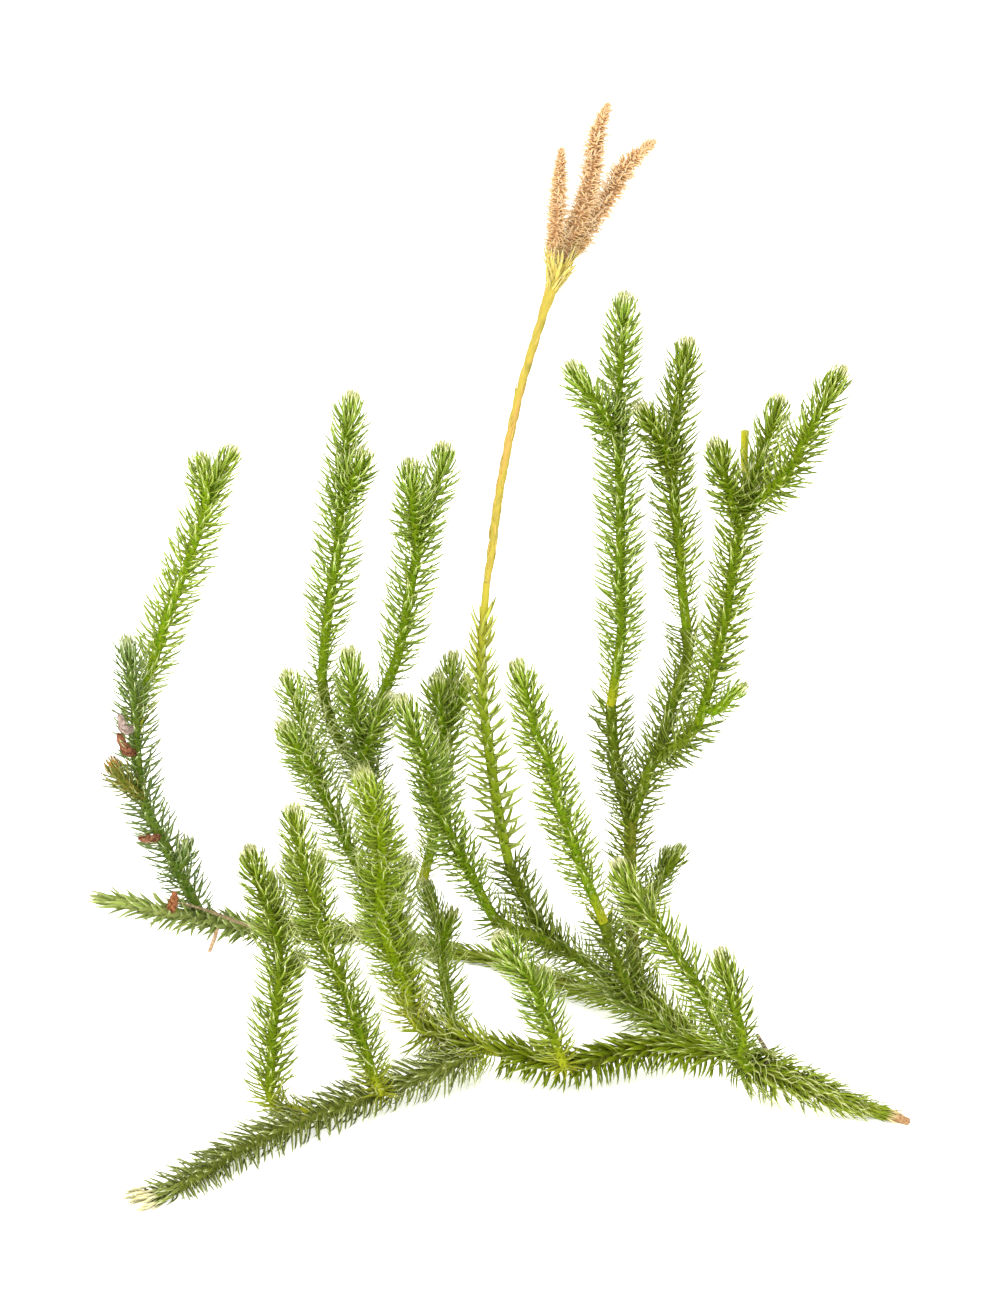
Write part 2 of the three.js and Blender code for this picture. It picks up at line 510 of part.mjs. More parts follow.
// A cone: a core whose surface rises into rows of overlapping scales, set alternately
const coneRadius = (cone) => (share) => cone.radius * (1 - CONE_TAPER * Math.pow(share, 3))
function coneSolid(cone) {
  const curve = curveOf(cone.path)
  const count = Math.round(curve.getLength() / SCALE_STEP)
  const places = Array.from({ length: count + 1 }, (_, i) => curve.getUtoTmapping(i / count))
  const isScale = (j, i) => (j + i) % 2 === 0 && i > 0 && i < count
  const radiusAt = (share, j, i) =>
    coneRadius(cone)(share) * (isScale(j, i) ? 1 + SCALE_RISE : 1 - SCALE_RISE / 2)
  const liftAt = (j, i) => (isScale(j, i) ? SCALE_STEP * SCALE_LIFT : 0)
  return tube(rings(framesAt(curve, places), SCALE_SIDES, radiusAt, liftAt))
}

const meshes = {}
function addMesh(name, solid, colour) {
  const [hex, roughness] = COLOURS[colour]
  const material = new THREE.MeshStandardMaterial({ color: hex, roughness, metalness: 0 })
  const mesh = new THREE.Mesh(geometryOf(solid), material)
  mesh.name = name
  meshes[name] = mesh
}

const radiiAlong = (radii) => (share) => {
  const place = share * (radii.length - 1)
  const i = Math.min(radii.length - 2, Math.floor(place))
  return mix(radii[i], radii[i + 1], place - i)
}

// What the neighbours are cut back with: each node's cores, wider by the gap
const wide = {}
const FLOOR = solidOf(new THREE.BoxGeometry(400, 400, 40).translate(0, 0, -20))
function seated(solid, parents) {
  const cut = parents.reduce((rest, parent) => rest.subtract(wide[parent]), solid).subtract(FLOOR)
  return cut.decompose().reduce((most, scrap) => (scrap.volume() > most.volume() ? scrap : most))
}
const joined = (solids) => solids.reduce((all, one) => all.add(one))

const spines = {}
for (const [name, node] of Object.entries(STEMS)) {
  const radiusAt = (share) => coreRadius(node, share)
  spines[name] = node.stems.map(spineOf)
  wide[name] = joined(spines[name].map((spine) => core(spine, radiusAt, GAP)))
  spines[name].forEach((spine) => noteCore(name, spine, radiusAt))
}
const stalkSpine = spineOf(STALK.path)
const stalkRadius = radiiAlong(STALK.radii)
wide.stalk = core(stalkSpine, stalkRadius, GAP)
noteCore('stalk', stalkSpine, stalkRadius)
for (const [name, cone] of Object.entries(CONES)) {
  const reach = (1 + SCALE_RISE) / Math.cos(Math.PI / RANKS)
  wide[name] = core(spineOf(cone.path), (share) => coneRadius(cone)(share) * reach, GAP)
}
for (const [name, thing] of Object.entries(SMALL_THINGS)) {
  noteCore(name, spineOf(thing.path), radiiAlong(thing.radii))
}

for (const [name, node] of Object.entries(STEMS)) {
  const radiusAt = (share) => coreRadius(node, share)
  const cores = spines[name].map((spine) => core(spine, radiusAt))
  const leaves = node.leafless ? [] : spines[name].flatMap((spine) => leavesAlong(name, node, spine, radiusAt))
  const whole = joined([...cores, ...leaves.map(([root, tip]) => needle(root, tip))])
  addMesh(name, seated(whole, node.grows_from ?? []), node.colour)
}
const scales = leavesAlong('stalk', STALK, stalkSpine, stalkRadius)
const stalk = joined([core(stalkSpine, stalkRadius), ...scales.map(([root, tip]) => needle(root, tip))])
addMesh('stalk', seated(stalk, ['leafy_stalk']), 'stalk_yellow')
for (const [name, cone] of Object.entries(CONES)) {
  addMesh(name, seated(coneSolid(cone), cone.rests_on), 'cone_tan')
}
for (const [name, thing] of Object.entries(SMALL_THINGS)) {
  const solid = core(spineOf(thing.path), radiiAlong(thing.radii))
  addMesh(name, seated(solid, thing.grows_from), thing.colour)
}

const plant = new THREE.Group()
plant.add(...Object.values(meshes))
export default plant
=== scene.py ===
"""A picked sprig of creeping clubmoss, dressed over its solids: fine curved leaves that end in hairs, a bare
yellow stalk with three scaly cones, and the small brown things that grow on its stems."""
import math
import random

import bpy
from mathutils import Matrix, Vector


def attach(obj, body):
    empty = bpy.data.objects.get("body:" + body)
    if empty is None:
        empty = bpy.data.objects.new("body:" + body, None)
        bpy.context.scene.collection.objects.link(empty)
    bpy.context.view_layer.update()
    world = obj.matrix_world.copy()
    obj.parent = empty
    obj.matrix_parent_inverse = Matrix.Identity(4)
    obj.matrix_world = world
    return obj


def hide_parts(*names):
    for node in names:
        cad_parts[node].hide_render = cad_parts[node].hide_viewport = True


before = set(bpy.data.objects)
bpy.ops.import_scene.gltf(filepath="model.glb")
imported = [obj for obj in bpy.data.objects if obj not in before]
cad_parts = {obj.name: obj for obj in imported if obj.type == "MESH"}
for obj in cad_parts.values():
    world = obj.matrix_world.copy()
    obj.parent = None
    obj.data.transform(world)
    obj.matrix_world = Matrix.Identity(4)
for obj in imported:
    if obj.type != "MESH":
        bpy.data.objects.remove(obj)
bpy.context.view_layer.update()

# Places are given in mm as the plant is seen from the front, 25 degrees above the floor:
# (across, up, back), with up measured in the view and back along the floor. Blender's units are metres.
MM = 0.001
VIEW_TILT = math.radians(25)
MIDDLE = dict(across=-0.4, back=64.5)

# The photograph's frame, and what one of its pixels spans at the plant
PHOTO_WIDTH = 1000
PHOTO_HEIGHT = 1293
PIXEL_MM = 0.22
PHOTO_ZERO = (497, 1205)
PHOTO_CENTRE_BACK = 78.3
CAMERA_DISTANCE = 6.0
SENSOR_MM = 36

# Every leafy node: its colour, how it grows, and its stems from base to tip. An entry that is part_of
# another is a stretch of that node in a colour of its own.
YOUNG = dict(colour="mature", habit="young", tip=True)
OLD = dict(colour="old", habit="old")
RUNNER = dict(colour="runner", habit="runner")
STEMS = {
    "front_runner": dict(RUNNER, colour="front_runner", radius=1.35, leaves="broad", changes=dict(
        droop=30), stems=[
        [(52, 33.2, 57.5), (46.4, 33.6, 60.5), (37, 34.8, 65), (25.5, 32.6, 62), (15.8, 30.4, 59),
         (8.4, 31.9, 61.5), (0.7, 33.4, 63)]]),
    "front_runner_end": dict(RUNNER, part_of="front_runner", colour="front_runner_end", radius=1.35,
                             leaves="curly", changes=dict(
        spacing=0.09, length=7.6, base_lean=80, droop=24, jitter=16), stems=[
        [(0.7, 33.4, 63), (-6.8, 35.2, 64), (-13, 37, 64), (-17, 38.6, 64)]]),
    "right_runner": dict(RUNNER, radius=1.45, tip=True, leaves="tangled", changes=dict(
        spacing=0.09, length=7.4, base_lean=80, tip_lean=38, tip_length=0.55, reach=34, droop=8, jitter=18,
        overhang=4.5), stems=[
        [(52, 33.2, 57.5), (57.9, 29.9, 51.4), (63, 28, 49.5), (68.4, 26, 46.5), (75.5, 23.1, 44.5),
         (82, 21, 44.8), (86.6, 19.6, 43.8)]]),
    "left_runner": dict(RUNNER, colour="left_runner", radius=1.35, tip=True, leaves="straight", changes=dict(
        spacing=0.15, length=6.6, crowding=1.0, base_lean=60, droop=8, tip_length=0.9, tip_lean=74,
        overhang=6.8, jitter=8), stems=[
        [(-4, 34.5, 63.5), (-11, 30.4, 57), (-22, 26.2, 52), (-40, 19.6, 37.5), (-54, 13.6, 25),
         (-66, 6.4, 11.5), (-71.3, 3.5, 6), (-76.5, 1.75, 2.4)]]),
    "trunk": dict(OLD, colour="runner", radius=1.45, stems=[
        [(46.4, 33.6, 60.5), (42.5, 37, 67), (37, 42.3, 71), (32.1, 47.3, 74), (30.4, 55, 77),
         (29.5, 66, 79), (29.5, 80.5, 81), (29.5, 85.5, 82)]]),
    "diagonal_stem": dict(OLD, stems=[
        [(43, 34.4, 62), (37, 38.4, 66), (29.5, 44, 71), (20.5, 52.4, 75), (13.9, 56.6, 77),
         (10.3, 59.8, 78), (6.4, 66.7, 79), (3.5, 72.8, 79), (2.6, 75.5, 79)]]),
    "back_runner": dict(RUNNER, radius=1.3, changes=dict(
        length=5.0, base_lean=48, droop=6, jitter=9), stems=[
        [(42.5, 37, 67), (40, 38.4, 76), (36, 40.5, 84), (31.5, 42.9, 90), (19.6, 46.6, 103),
         (9.5, 49.4, 112.5), (1, 52.3, 121.7), (-4.5, 53.6, 125), (-10, 54.3, 126.6), (-17, 56.4, 124),
         (-29, 59, 116), (-42, 59.8, 101), (-53.2, 60.5, 87)]]),
    "back_runner_end": dict(RUNNER, part_of="back_runner", colour="back_runner_end", radius=1.25, tip=True,
                            leaves="hooked", changes=dict(
        spacing=0.4, length=5.8, tip_length=0.9, base_lean=26, tip_lean=17, droop=5, jitter=6,
        overhang=2.4), stems=[
        [(-53.2, 60.5, 87), (-60.9, 62, 76), (-67.1, 63.4, 68.5), (-73.3, 64.5, 62.6),
         (-79.4, 65.8, 58.1), (-88, 67.6, 56)]]),
    "big_shoot": dict(YOUNG, colour="young", radius=1.3, leaves="curly", yellow_base=16, short_base=2,
                      changes=dict(spacing=0.12), stems=[
        [(-17, 38.6, 64), (-18.9, 41.5, 64), (-20.5, 48.2, 63.5), (-23.3, 55.2, 62.5),
         (-25.7, 64.9, 61), (-25.3, 74.4, 59.5), (-25.5, 79.6, 58.5), (-26.8, 85.8, 57), (-29.7, 95, 55)]]),
    "big_shoot_left": dict(YOUNG, leaves="curly", stems=[
        [(-24.3, 58, 62), (-26.6, 64.7, 64.5), (-31, 74.8, 66), (-34.3, 82.5, 66), (-37.8, 89.6, 65.5),
         (-40.3, 97, 65), (-42.7, 105.8, 64), (-46, 117, 63)],
        [(-38.6, 92, 65.3), (-41, 96, 61), (-43.6, 100, 58.5), (-47.1, 105.8, 56.5)]]),
    "big_shoot_right": dict(YOUNG, leaves="curly", stems=[
        [(-19, 42.5, 64), (-19.4, 47.5, 67), (-20.8, 56, 69), (-21.8, 66, 69.5), (-19.6, 76, 69.5)]]),
    "left_old_stems": dict(OLD, leaves="curly", stems=[
        [(-22.6, 53.5, 63), (-24.5, 60, 69.5), (-25.5, 69, 76.5), (-26, 78, 78), (-27, 88, 78),
         (-28.6, 97, 77), (-27.6, 104.5, 77), (-26, 111, 77.5)],
        [(-27.5, 91, 77.8), (-31, 96.5, 78.3), (-34.5, 101.2, 79), (-37.4, 109, 79.5), (-38.6, 115.5, 79)]]),
    "tall_left_shoot": dict(YOUNG, stems=[
        [(-38.6, 115.5, 79), (-37.7, 125.4, 79.5), (-36.6, 134.4, 80), (-35.2, 143.2, 80.5),
         (-34.4, 152.2, 81), (-33.7, 161.3, 81.5), (-31.8, 178, 82)],
        [(-34.2, 153, 81), (-32.4, 157.5, 77.5), (-30.3, 162.1, 75), (-29.2, 165.6, 74)]]),
    "mid_left_shoot": dict(YOUNG, stems=[
        [(-26, 111, 77.5), (-22.6, 118.6, 78), (-20.7, 126.3, 78.5), (-19.3, 134.4, 79),
         (-16.7, 147.8, 79.5), (-14.9, 153.6, 80), (-12.6, 160, 80.5), (-11.6, 167, 81)],
        [(-17.4, 144, 79.3), (-18.1, 150, 76), (-18.6, 156, 73.5), (-19, 163.2, 72.5)]]),
    "inner_shoot": dict(YOUNG, stems=[
        [(-28.4, 95.5, 77), (-29.6, 100, 72.8), (-31.5, 110.4, 69), (-32.3, 122, 68)],
        [(-29.6, 99.5, 72.3), (-28, 102.5, 69.5), (-26.3, 106.5, 68.5), (-22.9, 111.4, 69)]]),
    "leaning_old_stem": dict(OLD, stems=[
        [(15.4, 55.8, 76.5), (12.5, 56.8, 74), (9, 58.6, 72.5), (3.5, 60.3, 72), (-0.9, 63.2, 72)]]),
    "leaning_shoot": dict(YOUNG, stems=[
        [(-0.9, 63.2, 72), (-4, 69.1, 71), (-10.3, 81.2, 68.5), (-13.4, 88.4, 67), (-15.6, 97.5, 65),
         (-18.9, 105.4, 63), (-20.6, 111.5, 62)]]),
    "rear_old_stem": dict(OLD, colour="low", tip=True, stems=[
        [(-10, 36.2, 64), (-10.6, 43, 69), (-11.7, 49.3, 73), (-12.5, 55.7, 77), (-13, 61.4, 79.5),
         (-16.4, 71, 82)],
        [(-12.7, 57, 77.5), (-11, 60.5, 76.5), (-9.9, 64.3, 75)]]),
    "rear_shoot": dict(YOUNG, colour="fresh", yellow_base=6, stems=[
        [(-16.4, 71, 82), (-14.5, 78.5, 83.5), (-12.8, 87, 84.5), (-11.7, 96.6, 85), (-11.2, 102, 85.5),
         (-10.3, 108.7, 86), (-9.6, 121, 86.5)],
        [(-11.4, 101, 85.4), (-12.5, 108, 82.5), (-13.4, 116, 80.5)],
        [(-10.3, 108, 86), (-8.1, 111.5, 84), (-6.2, 115.5, 82.5)]]),
    "leafy_stalk": dict(colour="stalk", habit="sparse", radius=1.15, end_radius=0.8, leaves="stout",
                        yellow_top=28, stems=[
        [(2.6, 75.5, 79), (1.1, 82.3, 78.5), (-0.2, 89.5, 78), (-2.2, 103.8, 77), (-3.1, 110.9, 76.5),
         (-3.5, 118.1, 76), (-3.1, 126, 75.5), (-2.2, 137.1, 75.5)]]),
    "slanting_old_stem": dict(OLD, stems=[
        [(30, 43.8, 70.8), (28.8, 48, 69.5), (27.3, 51.5, 69), (24.2, 59.4, 69), (23.5, 62, 69)]]),
    "slanting_shoot": dict(YOUNG, colour="fresh", yellow_base=8, stems=[
        [(23.5, 62, 69), (20.9, 68.4, 69), (18.5, 74.1, 69), (16.1, 81, 68.5), (13.6, 88.4, 68),
         (11.9, 96.1, 67.5), (9, 102.7, 67), (6.2, 112.4, 66.5), (4.4, 119.2, 66)]]),
    "small_front_shoot": dict(YOUNG, yellow_base=16, stems=[
        [(15.4, 30.3, 58.7), (14.6, 31, 55), (13.4, 34.1, 53.5), (10.3, 42, 52.5), (7.3, 49.3, 52),
         (4.8, 52.4, 51.5), (0.3, 59, 50.5)],
        [(9.4, 44.5, 52.4), (9.9, 48.2, 55.5), (10.3, 51.3, 57)]]),
    "outer_left_shoot": dict(YOUNG, colour="low", yellow_base=16, stems=[
        [(-40.5, 19.6, 37.8), (-44, 20.8, 38.6), (-47.6, 21.3, 38.2), (-49.7, 23.5, 37.8),
         (-49.7, 31.5, 38.5), (-49.3, 38.7, 39.5), (-48, 48.2, 41), (-48, 56.5, 42.5), (-50.2, 65.6, 43),
         (-52.1, 70.2, 42.5), (-54.4, 78.4, 41.5)],
        [(-48.1, 59, 42.8), (-48, 63.4, 46), (-49.1, 69.1, 49.5), (-50.1, 72.6, 51.5)],
        [(-48.2, 46.5, 40.8), (-46.6, 49.5, 43.5), (-44.4, 53, 45.5), (-42.7, 55.2, 46.5)]]),
    "inner_left_shoot": dict(YOUNG, colour="low", leaves="curly", yellow_base=14, stems=[
        [(-25.4, 25, 49.5), (-25.8, 24.6, 46), (-26.6, 26.5, 44.3), (-30.1, 37.2, 42),
         (-32.1, 43.3, 40.5), (-35, 50.6, 39), (-37.8, 57.6, 38), (-39.6, 64.9, 37), (-41.1, 70.6, 36.5),
         (-42.9, 76.8, 36), (-44.8, 87.6, 35)],
        [(-39.7, 65.3, 37), (-39.7, 69, 40.5), (-39.4, 72.5, 42.5), (-39, 77.5, 43.5)],
        [(-38.4, 60, 37.7), (-41, 65, 41), (-43.6, 70.5, 44), (-45.9, 76.5, 46)]]),
    "tall_old_stem": dict(OLD, stems=[
        [(29.3, 83.6, 81.6), (28.2, 88.2, 82.6), (27.1, 93.1, 83), (26, 98.6, 83.5), (25.1, 110, 84)]]),
    "tall_shoot": dict(YOUNG, yellow_base=8, stems=[
        [(25.1, 110, 84), (26.4, 118.6, 84.5), (27.3, 125.8, 85), (27.1, 136.6, 85.5),
         (27.1, 148.7, 86), (26.8, 160.6, 86), (26.4, 172.9, 86), (27.1, 184.4, 86), (28.1, 199.8, 86)],
        [(26.5, 167, 86), (25, 171, 83), (22.9, 174.5, 81), (18.9, 179.4, 79.5), (16.1, 184.6, 79)]]),
    "second_old_stem": dict(OLD, stems=[
        [(29.5, 84, 81.8), (31.2, 88.9, 81.2), (33.2, 94.8, 80.6), (35.4, 99.4, 80.4),
         (38.7, 110.4, 81), (42, 120.3, 83), (41.8, 127, 84)]]),
    "second_shoot": dict(YOUNG, colour="low", stems=[
        [(41.8, 127, 84), (40.7, 136.6, 86), (40, 146.3, 88), (38.9, 155.8, 89.5), (38.9, 163, 90.5),
         (38.9, 172.9, 91), (40.7, 181.9, 91.5), (41.7, 190, 92)],
        [(38.9, 160, 90), (37.5, 164.5, 86.5), (36.2, 167.5, 84.5), (33.9, 171.2, 82),
         (31.5, 175.6, 80.5)]]),
    "crown_old_stem": dict(OLD, stems=[
        [(34.6, 97.6, 80.5), (37.5, 99.8, 77.5), (39.4, 101, 76), (42.2, 103.2, 74.8), (44.4, 106, 74)]]),
    "crown_shoot": dict(YOUNG, colour="low", stems=[
        [(44.4, 106, 74), (46.6, 113.1, 73), (48, 118.6, 72.5), (49.7, 126.5, 72), (50.8, 132, 72),
         (51.9, 141.5, 72), (53.8, 151.1, 72), (55.8, 158.2, 72.8), (58.6, 165.4, 74.5), (62, 177.3, 77)],
        [(53.4, 149.5, 72), (51.2, 156, 68.5), (49.3, 161.5, 66), (47.9, 167.6, 64.5)],
        [(54.1, 152.5, 72), (58.2, 156.2, 69.5), (63.2, 160.6, 67.5), (69, 171.2, 66), (75.3, 183.3, 65)]]),
    "crown_side_shoot": dict(YOUNG, stems=[
        [(45.6, 109.5, 73.5), (48, 108.8, 70.5), (50, 110.2, 69), (52.1, 112.6, 68), (54, 114.2, 67)]]),
    "crown_young_shoot": dict(colour="bud", habit="bud", radius=0.8, end_radius=0.9, tip=True, stems=[
        [(55.6, 158, 72.9), (54.5, 161, 75.8), (54.2, 164.5, 77.5), (54.4, 170.2, 79)]]),
    "short_dark_shoot": dict(OLD, tip=True, stems=[
        [(29.8, 61, 78.1), (32, 64, 80.8), (34.8, 68, 82.6), (36.8, 73.5, 83.6), (37.9, 77.8, 84)],
        [(36.5, 72.3, 83.5), (38.8, 75, 81.5), (40.6, 78.2, 80.5)]]),
    "right_shoot": dict(YOUNG, colour="low", stems=[
        [(56.6, 30.6, 52.6), (55.6, 30, 49.5), (52.6, 33.6, 49), (49.3, 38.5, 50), (46.4, 44.2, 51.5),
         (43.1, 49.9, 53), (38.7, 56.1, 55), (34.1, 62.7, 57), (29.3, 68.9, 59), (26.2, 75, 60.5)]]),
    "right_small_shoot": dict(YOUNG, colour="low", stems=[
        [(53.2, 32.9, 49), (54, 36, 46.3), (53.5, 39.3, 45.2), (52.1, 44.2, 44.4), (49, 55.8, 43.6)]]),
    "far_left_old_stem": dict(OLD, colour="far_left_old", tip=True, stems=[
        [(-65, 62.9, 71), (-67, 67, 70), (-71.7, 76.3, 69), (-74.1, 81, 68.5), (-77, 86.7, 68),
         (-78.5, 92.8, 67.5), (-79.2, 100.1, 67), (-79.4, 107.1, 66.5), (-81.2, 124.4, 64.4)],
        [(-70.5, 74, 69.3), (-68.8, 76.5, 66.8), (-68.8, 80, 65.5)]]),
    "far_left_side_stem": dict(OLD, part_of="far_left_old_stem", colour="scorched", tip=True, stems=[
        [(-78, 90, 67.8), (-80.3, 91.6, 65.5), (-82.7, 93.9, 64), (-84.7, 97.4, 63)]]),
    "far_left_shoot": dict(YOUNG, colour="fresh", yellow_base=8, stems=[
        [(-79.3, 104, 66.8), (-78.6, 109, 69.5), (-77.4, 114.4, 71.5), (-75.4, 120, 72.5),
         (-72.2, 130.2, 72.5), (-68.2, 140.6, 72.5), (-64.7, 150.3, 72.5), (-61.6, 159.3, 73.5),
         (-57.8, 166.2, 75)],
        [(-63.8, 153, 72.6), (-64, 158, 70), (-65.5, 164.3, 67.5)]]),
}
CUT_END = [(86.6, 19.6, 43.8), (88.6, 18.9, 42.6), (90.6, 18.2, 41)]

# The bare yellow stalk with its flared top, and the three cones on it
STALK = dict(
    path=[(-2.2, 137.1, 75.5), (-0.9, 146, 76), (0.2, 154.8, 77), (2.8, 168.9, 78.5), (5.5, 180.6, 80),
          (8.5, 190.4, 81.5), (11.1, 198.8, 83), (12.9, 203.6, 84.5), (13.7, 207.4, 85)],
    radii=[0.75, 0.93, 0.93, 0.93, 0.93, 0.93, 0.93, 0.93, 0.93, 0.93, 1, 1.45, 2.6])
CONES = {
    "centre_cone": dict(radius=2.1, changes=dict(length=2.9), path=[
        (14.3, 207.9, 85.3), (16.5, 213.4, 85.8), (19.4, 220.5, 86.2), (20.9, 227.5, 86.6), (22, 235.5, 87),
        (24.4, 241.4, 87.5)]),
    "left_cone": dict(radius=1.75, path=[
        (12.3, 207.7, 84.6), (12.9, 213, 83.4), (13.4, 222, 82), (14.1, 231.6, 81)]),
    "right_cone": dict(radius=1.9, changes=dict(length=3.2), path=[
        (15.8, 207.9, 85.8), (20.4, 215.4, 89), (24.4, 221.3, 90.5), (28.2, 227.9, 91.5),
        (34.6, 233.6, 93)]),
}

# Small things that grow on the stems. The bud scales are sheathed in smaller scales. The thread is loose:
# it is too thin for a node of the part.
SMALL_THINGS = {
    "rootlet": dict(colours=("#B08A6A", "#D2B494"), radii=[0.5, 0.45, 0.4], path=[
        (-61.6, 61.9, 75.2), (-62.4, 58.6, 75.4), (-63.6, 55.4, 75.6)]),
    "dry_twig": dict(colours=("#5E5446", "#8E7E6A"), radii=[0.6, 0.5, 0.4], path=[
        (59.2, 29.5, 50.8), (59.6, 33, 53.5), (57.2, 37.4, 56)]),
    "bud_scale_1": dict(colours=("#8A766A", "#B8A498"), radii=[0.5, 1.0, 0.3], scaly=True, path=[
        (-79.4, 105.5, 66.6), (-81.4, 104.4, 64.4), (-82.6, 107, 63)]),
    "bud_scale_2": dict(colours=("#5E3826", "#9A664A"), radii=[0.5, 1.0, 0.3], scaly=True, path=[
        (-79.2, 99.5, 67), (-81.2, 99.9, 64.2), (-82.8, 102.8, 63)]),
    "bud_scale_3": dict(colours=("#6E4430", "#A07052"), radii=[0.45, 0.8, 0.3], scaly=True, path=[
        (-74.4, 81.5, 68.4), (-75.4, 80.6, 65.6), (-78, 80.6, 64)]),
    "bud_scale_4": dict(colours=("#6E4028", "#AA7048"), radii=[0.5, 0.95, 0.3], scaly=True, path=[
        (-71.8, 64.2, 64), (-71.6, 65.6, 61.6), (-71, 68, 60.4)]),
    "dry_thread": dict(colours=("#8A7458", "#B09A78"), radii=[0.22, 0.3, 0.3, 0.22], loose=True, path=[
        (-70, 66.4, 64.5), (-64, 64.7, 68.5), (-58.5, 62.5, 74), (-53, 60.4, 81.5)]),
    "cut_end": dict(colours=("#846040", "#B8946C"), radii=[1.1, 0.95, 0.8], path=CUT_END),
}

# How each kind of stem grows. Spacings and lengths are in mm, leans, droop and jitter in degrees, the twist
# in degrees a mm, and the crowding and the tip length are shares.
# A lean is that of the leaf's foot, and the leaf then curves back towards the stem.
# Over the reach below a growing tip the leaves close up from the base lean to the tip lean, and shorten.
# The overhang is how far they end beyond the stem's own end. Lower leaves hang down more by the droop.
USUAL_HABIT = dict(crowding=0.0, droop=0, jitter=4, bare_base=0.8, bare_tip=0, ridge=0.06, twist=0)
HABITS = {
    "young": dict(spacing=0.16, crowding=0.75, length=6.6, tip_length=0.86, base_lean=76, tip_lean=50,
                  reach=24, overhang=1.6),
    "old": dict(spacing=0.17, crowding=0.5, length=6.0, tip_length=0.8, base_lean=78, tip_lean=46,
                reach=24, overhang=1.8),
    "runner": dict(spacing=0.16, length=5.8, tip_length=0.85, base_lean=72, tip_lean=40, reach=26,
                   overhang=2.5, droop=20, jitter=12),
    "sparse": dict(spacing=0.36, crowding=-0.8, length=6.2, tip_length=0.85, base_lean=80, tip_lean=26,
                   reach=50, overhang=0, bare_tip=9, bare_base=2, jitter=3),
    "pressed": dict(spacing=1.1, length=3.4, tip_length=1.0, base_lean=11, tip_lean=11, reach=10,
                    overhang=0, jitter=3, ridge=0.1, twist=14, bare_tip=8),
    "scaly": dict(spacing=0.16, length=1.5, tip_length=0.9, base_lean=20, tip_lean=14, reach=3,
                  overhang=0.2, bare_base=0.6),
    "bud": dict(spacing=0.3, length=3.0, tip_length=0.9, base_lean=16, tip_lean=12, reach=8, overhang=1.4),
    "flare": dict(spacing=0.05, length=4.8, tip_length=1.0, base_lean=34, tip_lean=30, reach=10,
                  overhang=4, jitter=9),
    "cone": dict(spacing=0.055, length=2.5, tip_length=0.6, base_lean=66, tip_lean=26, reach=9,
                 overhang=0.8, jitter=16),
}
ALL_BARE = 100

# Seeds of the random draws, a step apart from stem to stem and from cone to cone. Small things share one.
SEED_STEP = 10
STALK_SEED = 900
FLARE_SEED = 950
CONE_SEED = 1000
SMALL_SEED = 1100

# Radii of the stems in mm. An old stem ends at a share of its radius, and a cone loses a share of its own
# by the tip. Its core is a share of it. The flare's bracts reach that many mm down the stalk.
YOUNG_RADIUS = 1.1
OLD_RADIUS = 1.25
TIP_RADIUS = 0.7
RUNNER_TIP_RADIUS = 1.1
OLD_TAPER = 0.95
CONE_TAPER = 0.7
CONE_CORE = 0.6
FLARE_HEIGHT = 9

# The leaves stand in ten upright ranks, each leaf three tenths of a turn further on than the last.
# They crowd over a few times that many mm below a growing tip.
DIVERGENCE = math.radians(108)
CROWDED_TOP = 7

# What each leaf draws at random: the number added to its stem's seed, and the ends of the range.
# The lean's is a share of the stem's jitter. A leaf nearer to the tip than its top zone is a tip leaf.
DRAWS = {
    "lean": (1, -1.0, 1.0), "turn": (2, math.radians(-6), math.radians(6)),
    "roll": (3, math.radians(-22), math.radians(22)), "size": (4, 0.92, 1.06), "shade": (6, 0.0, 1.0),
    "top_zone": (7, 4 * MM, 9 * MM),
}

# Which leaf it is, of those down the stem or at its tip, is drawn with this number
CHOICE_DRAW = 5
LOWER_LEAVES = (0, 4)
TOP_LEAVES = (5, 6)

# The core's sides and the length of its facets, the step of a stem's path, and where a leaf starts between
# the core's middle and its skin
CORE_SIDES = 10
CORE_STEP = 0.9
PATH_STEP = 1.2
LEAF_START = 0.75

# How far above the floor the plant and its lying leaves end, in mm, and the share of its height that a lying
# leaf keeps. Out of reach is further left and nearer than any place of the plant, in metres.
FLOOR_SKIN = 0.05
LEAF_SKIN = 0.35
LYING_SHARE = 0.07
OUT_OF_REACH = -10.0

# Leaves are shorter at the foot of a shoot, by this share at most and over that many mm
SHORT_SHARE = 0.5
YOUNG_SHORT_BASE = 14
SHORT_BASE = 4

# One leaf, with lengths as shares of its blade's length. Its sway is how far it bends aside, in radians.
# With its hair a leaf counts as a little longer than its blade.
LEAF_STATIONS = [0.0, 0.18, 0.45, 0.74, 1.0]
LEAF_HALF_WIDTHS = [0.05, 0.056, 0.054, 0.044, 0.014]
CURLY_HALF_WIDTHS = [0.044, 0.048, 0.046, 0.036, 0.013]
STOUT_HALF_WIDTHS = [0.062, 0.082, 0.078, 0.056, 0.015]
BROAD_HALF_WIDTHS = [0.07, 0.095, 0.092, 0.064, 0.016]
BRACT_HALF_WIDTHS = [0.12, 0.16, 0.09, 0.036, 0.024]
FLARE_HALF_WIDTHS = [0.08, 0.1, 0.085, 0.055, 0.012]
SCALE_HALF_WIDTHS = [0.3, 0.42, 0.4, 0.26, 0.03]
LEAF_KEEL = 0.45
LEAF_SWAY = 0.18
HAIR_STEPS = 3
LEAF_WITH_HAIR = 1.15
HAIR_START = 0.009
HAIR_END = 0.004

# Leaves turn pale from 0.4 mm below a growing tip to 1.4 mm beyond it. Each is darker or lighter by chance.
PALE_TOP = (0.4, -1.4)
LEAF_SHADES = (0.78, 1.2)
BRACT_SHADES = (0.84, 1.1)

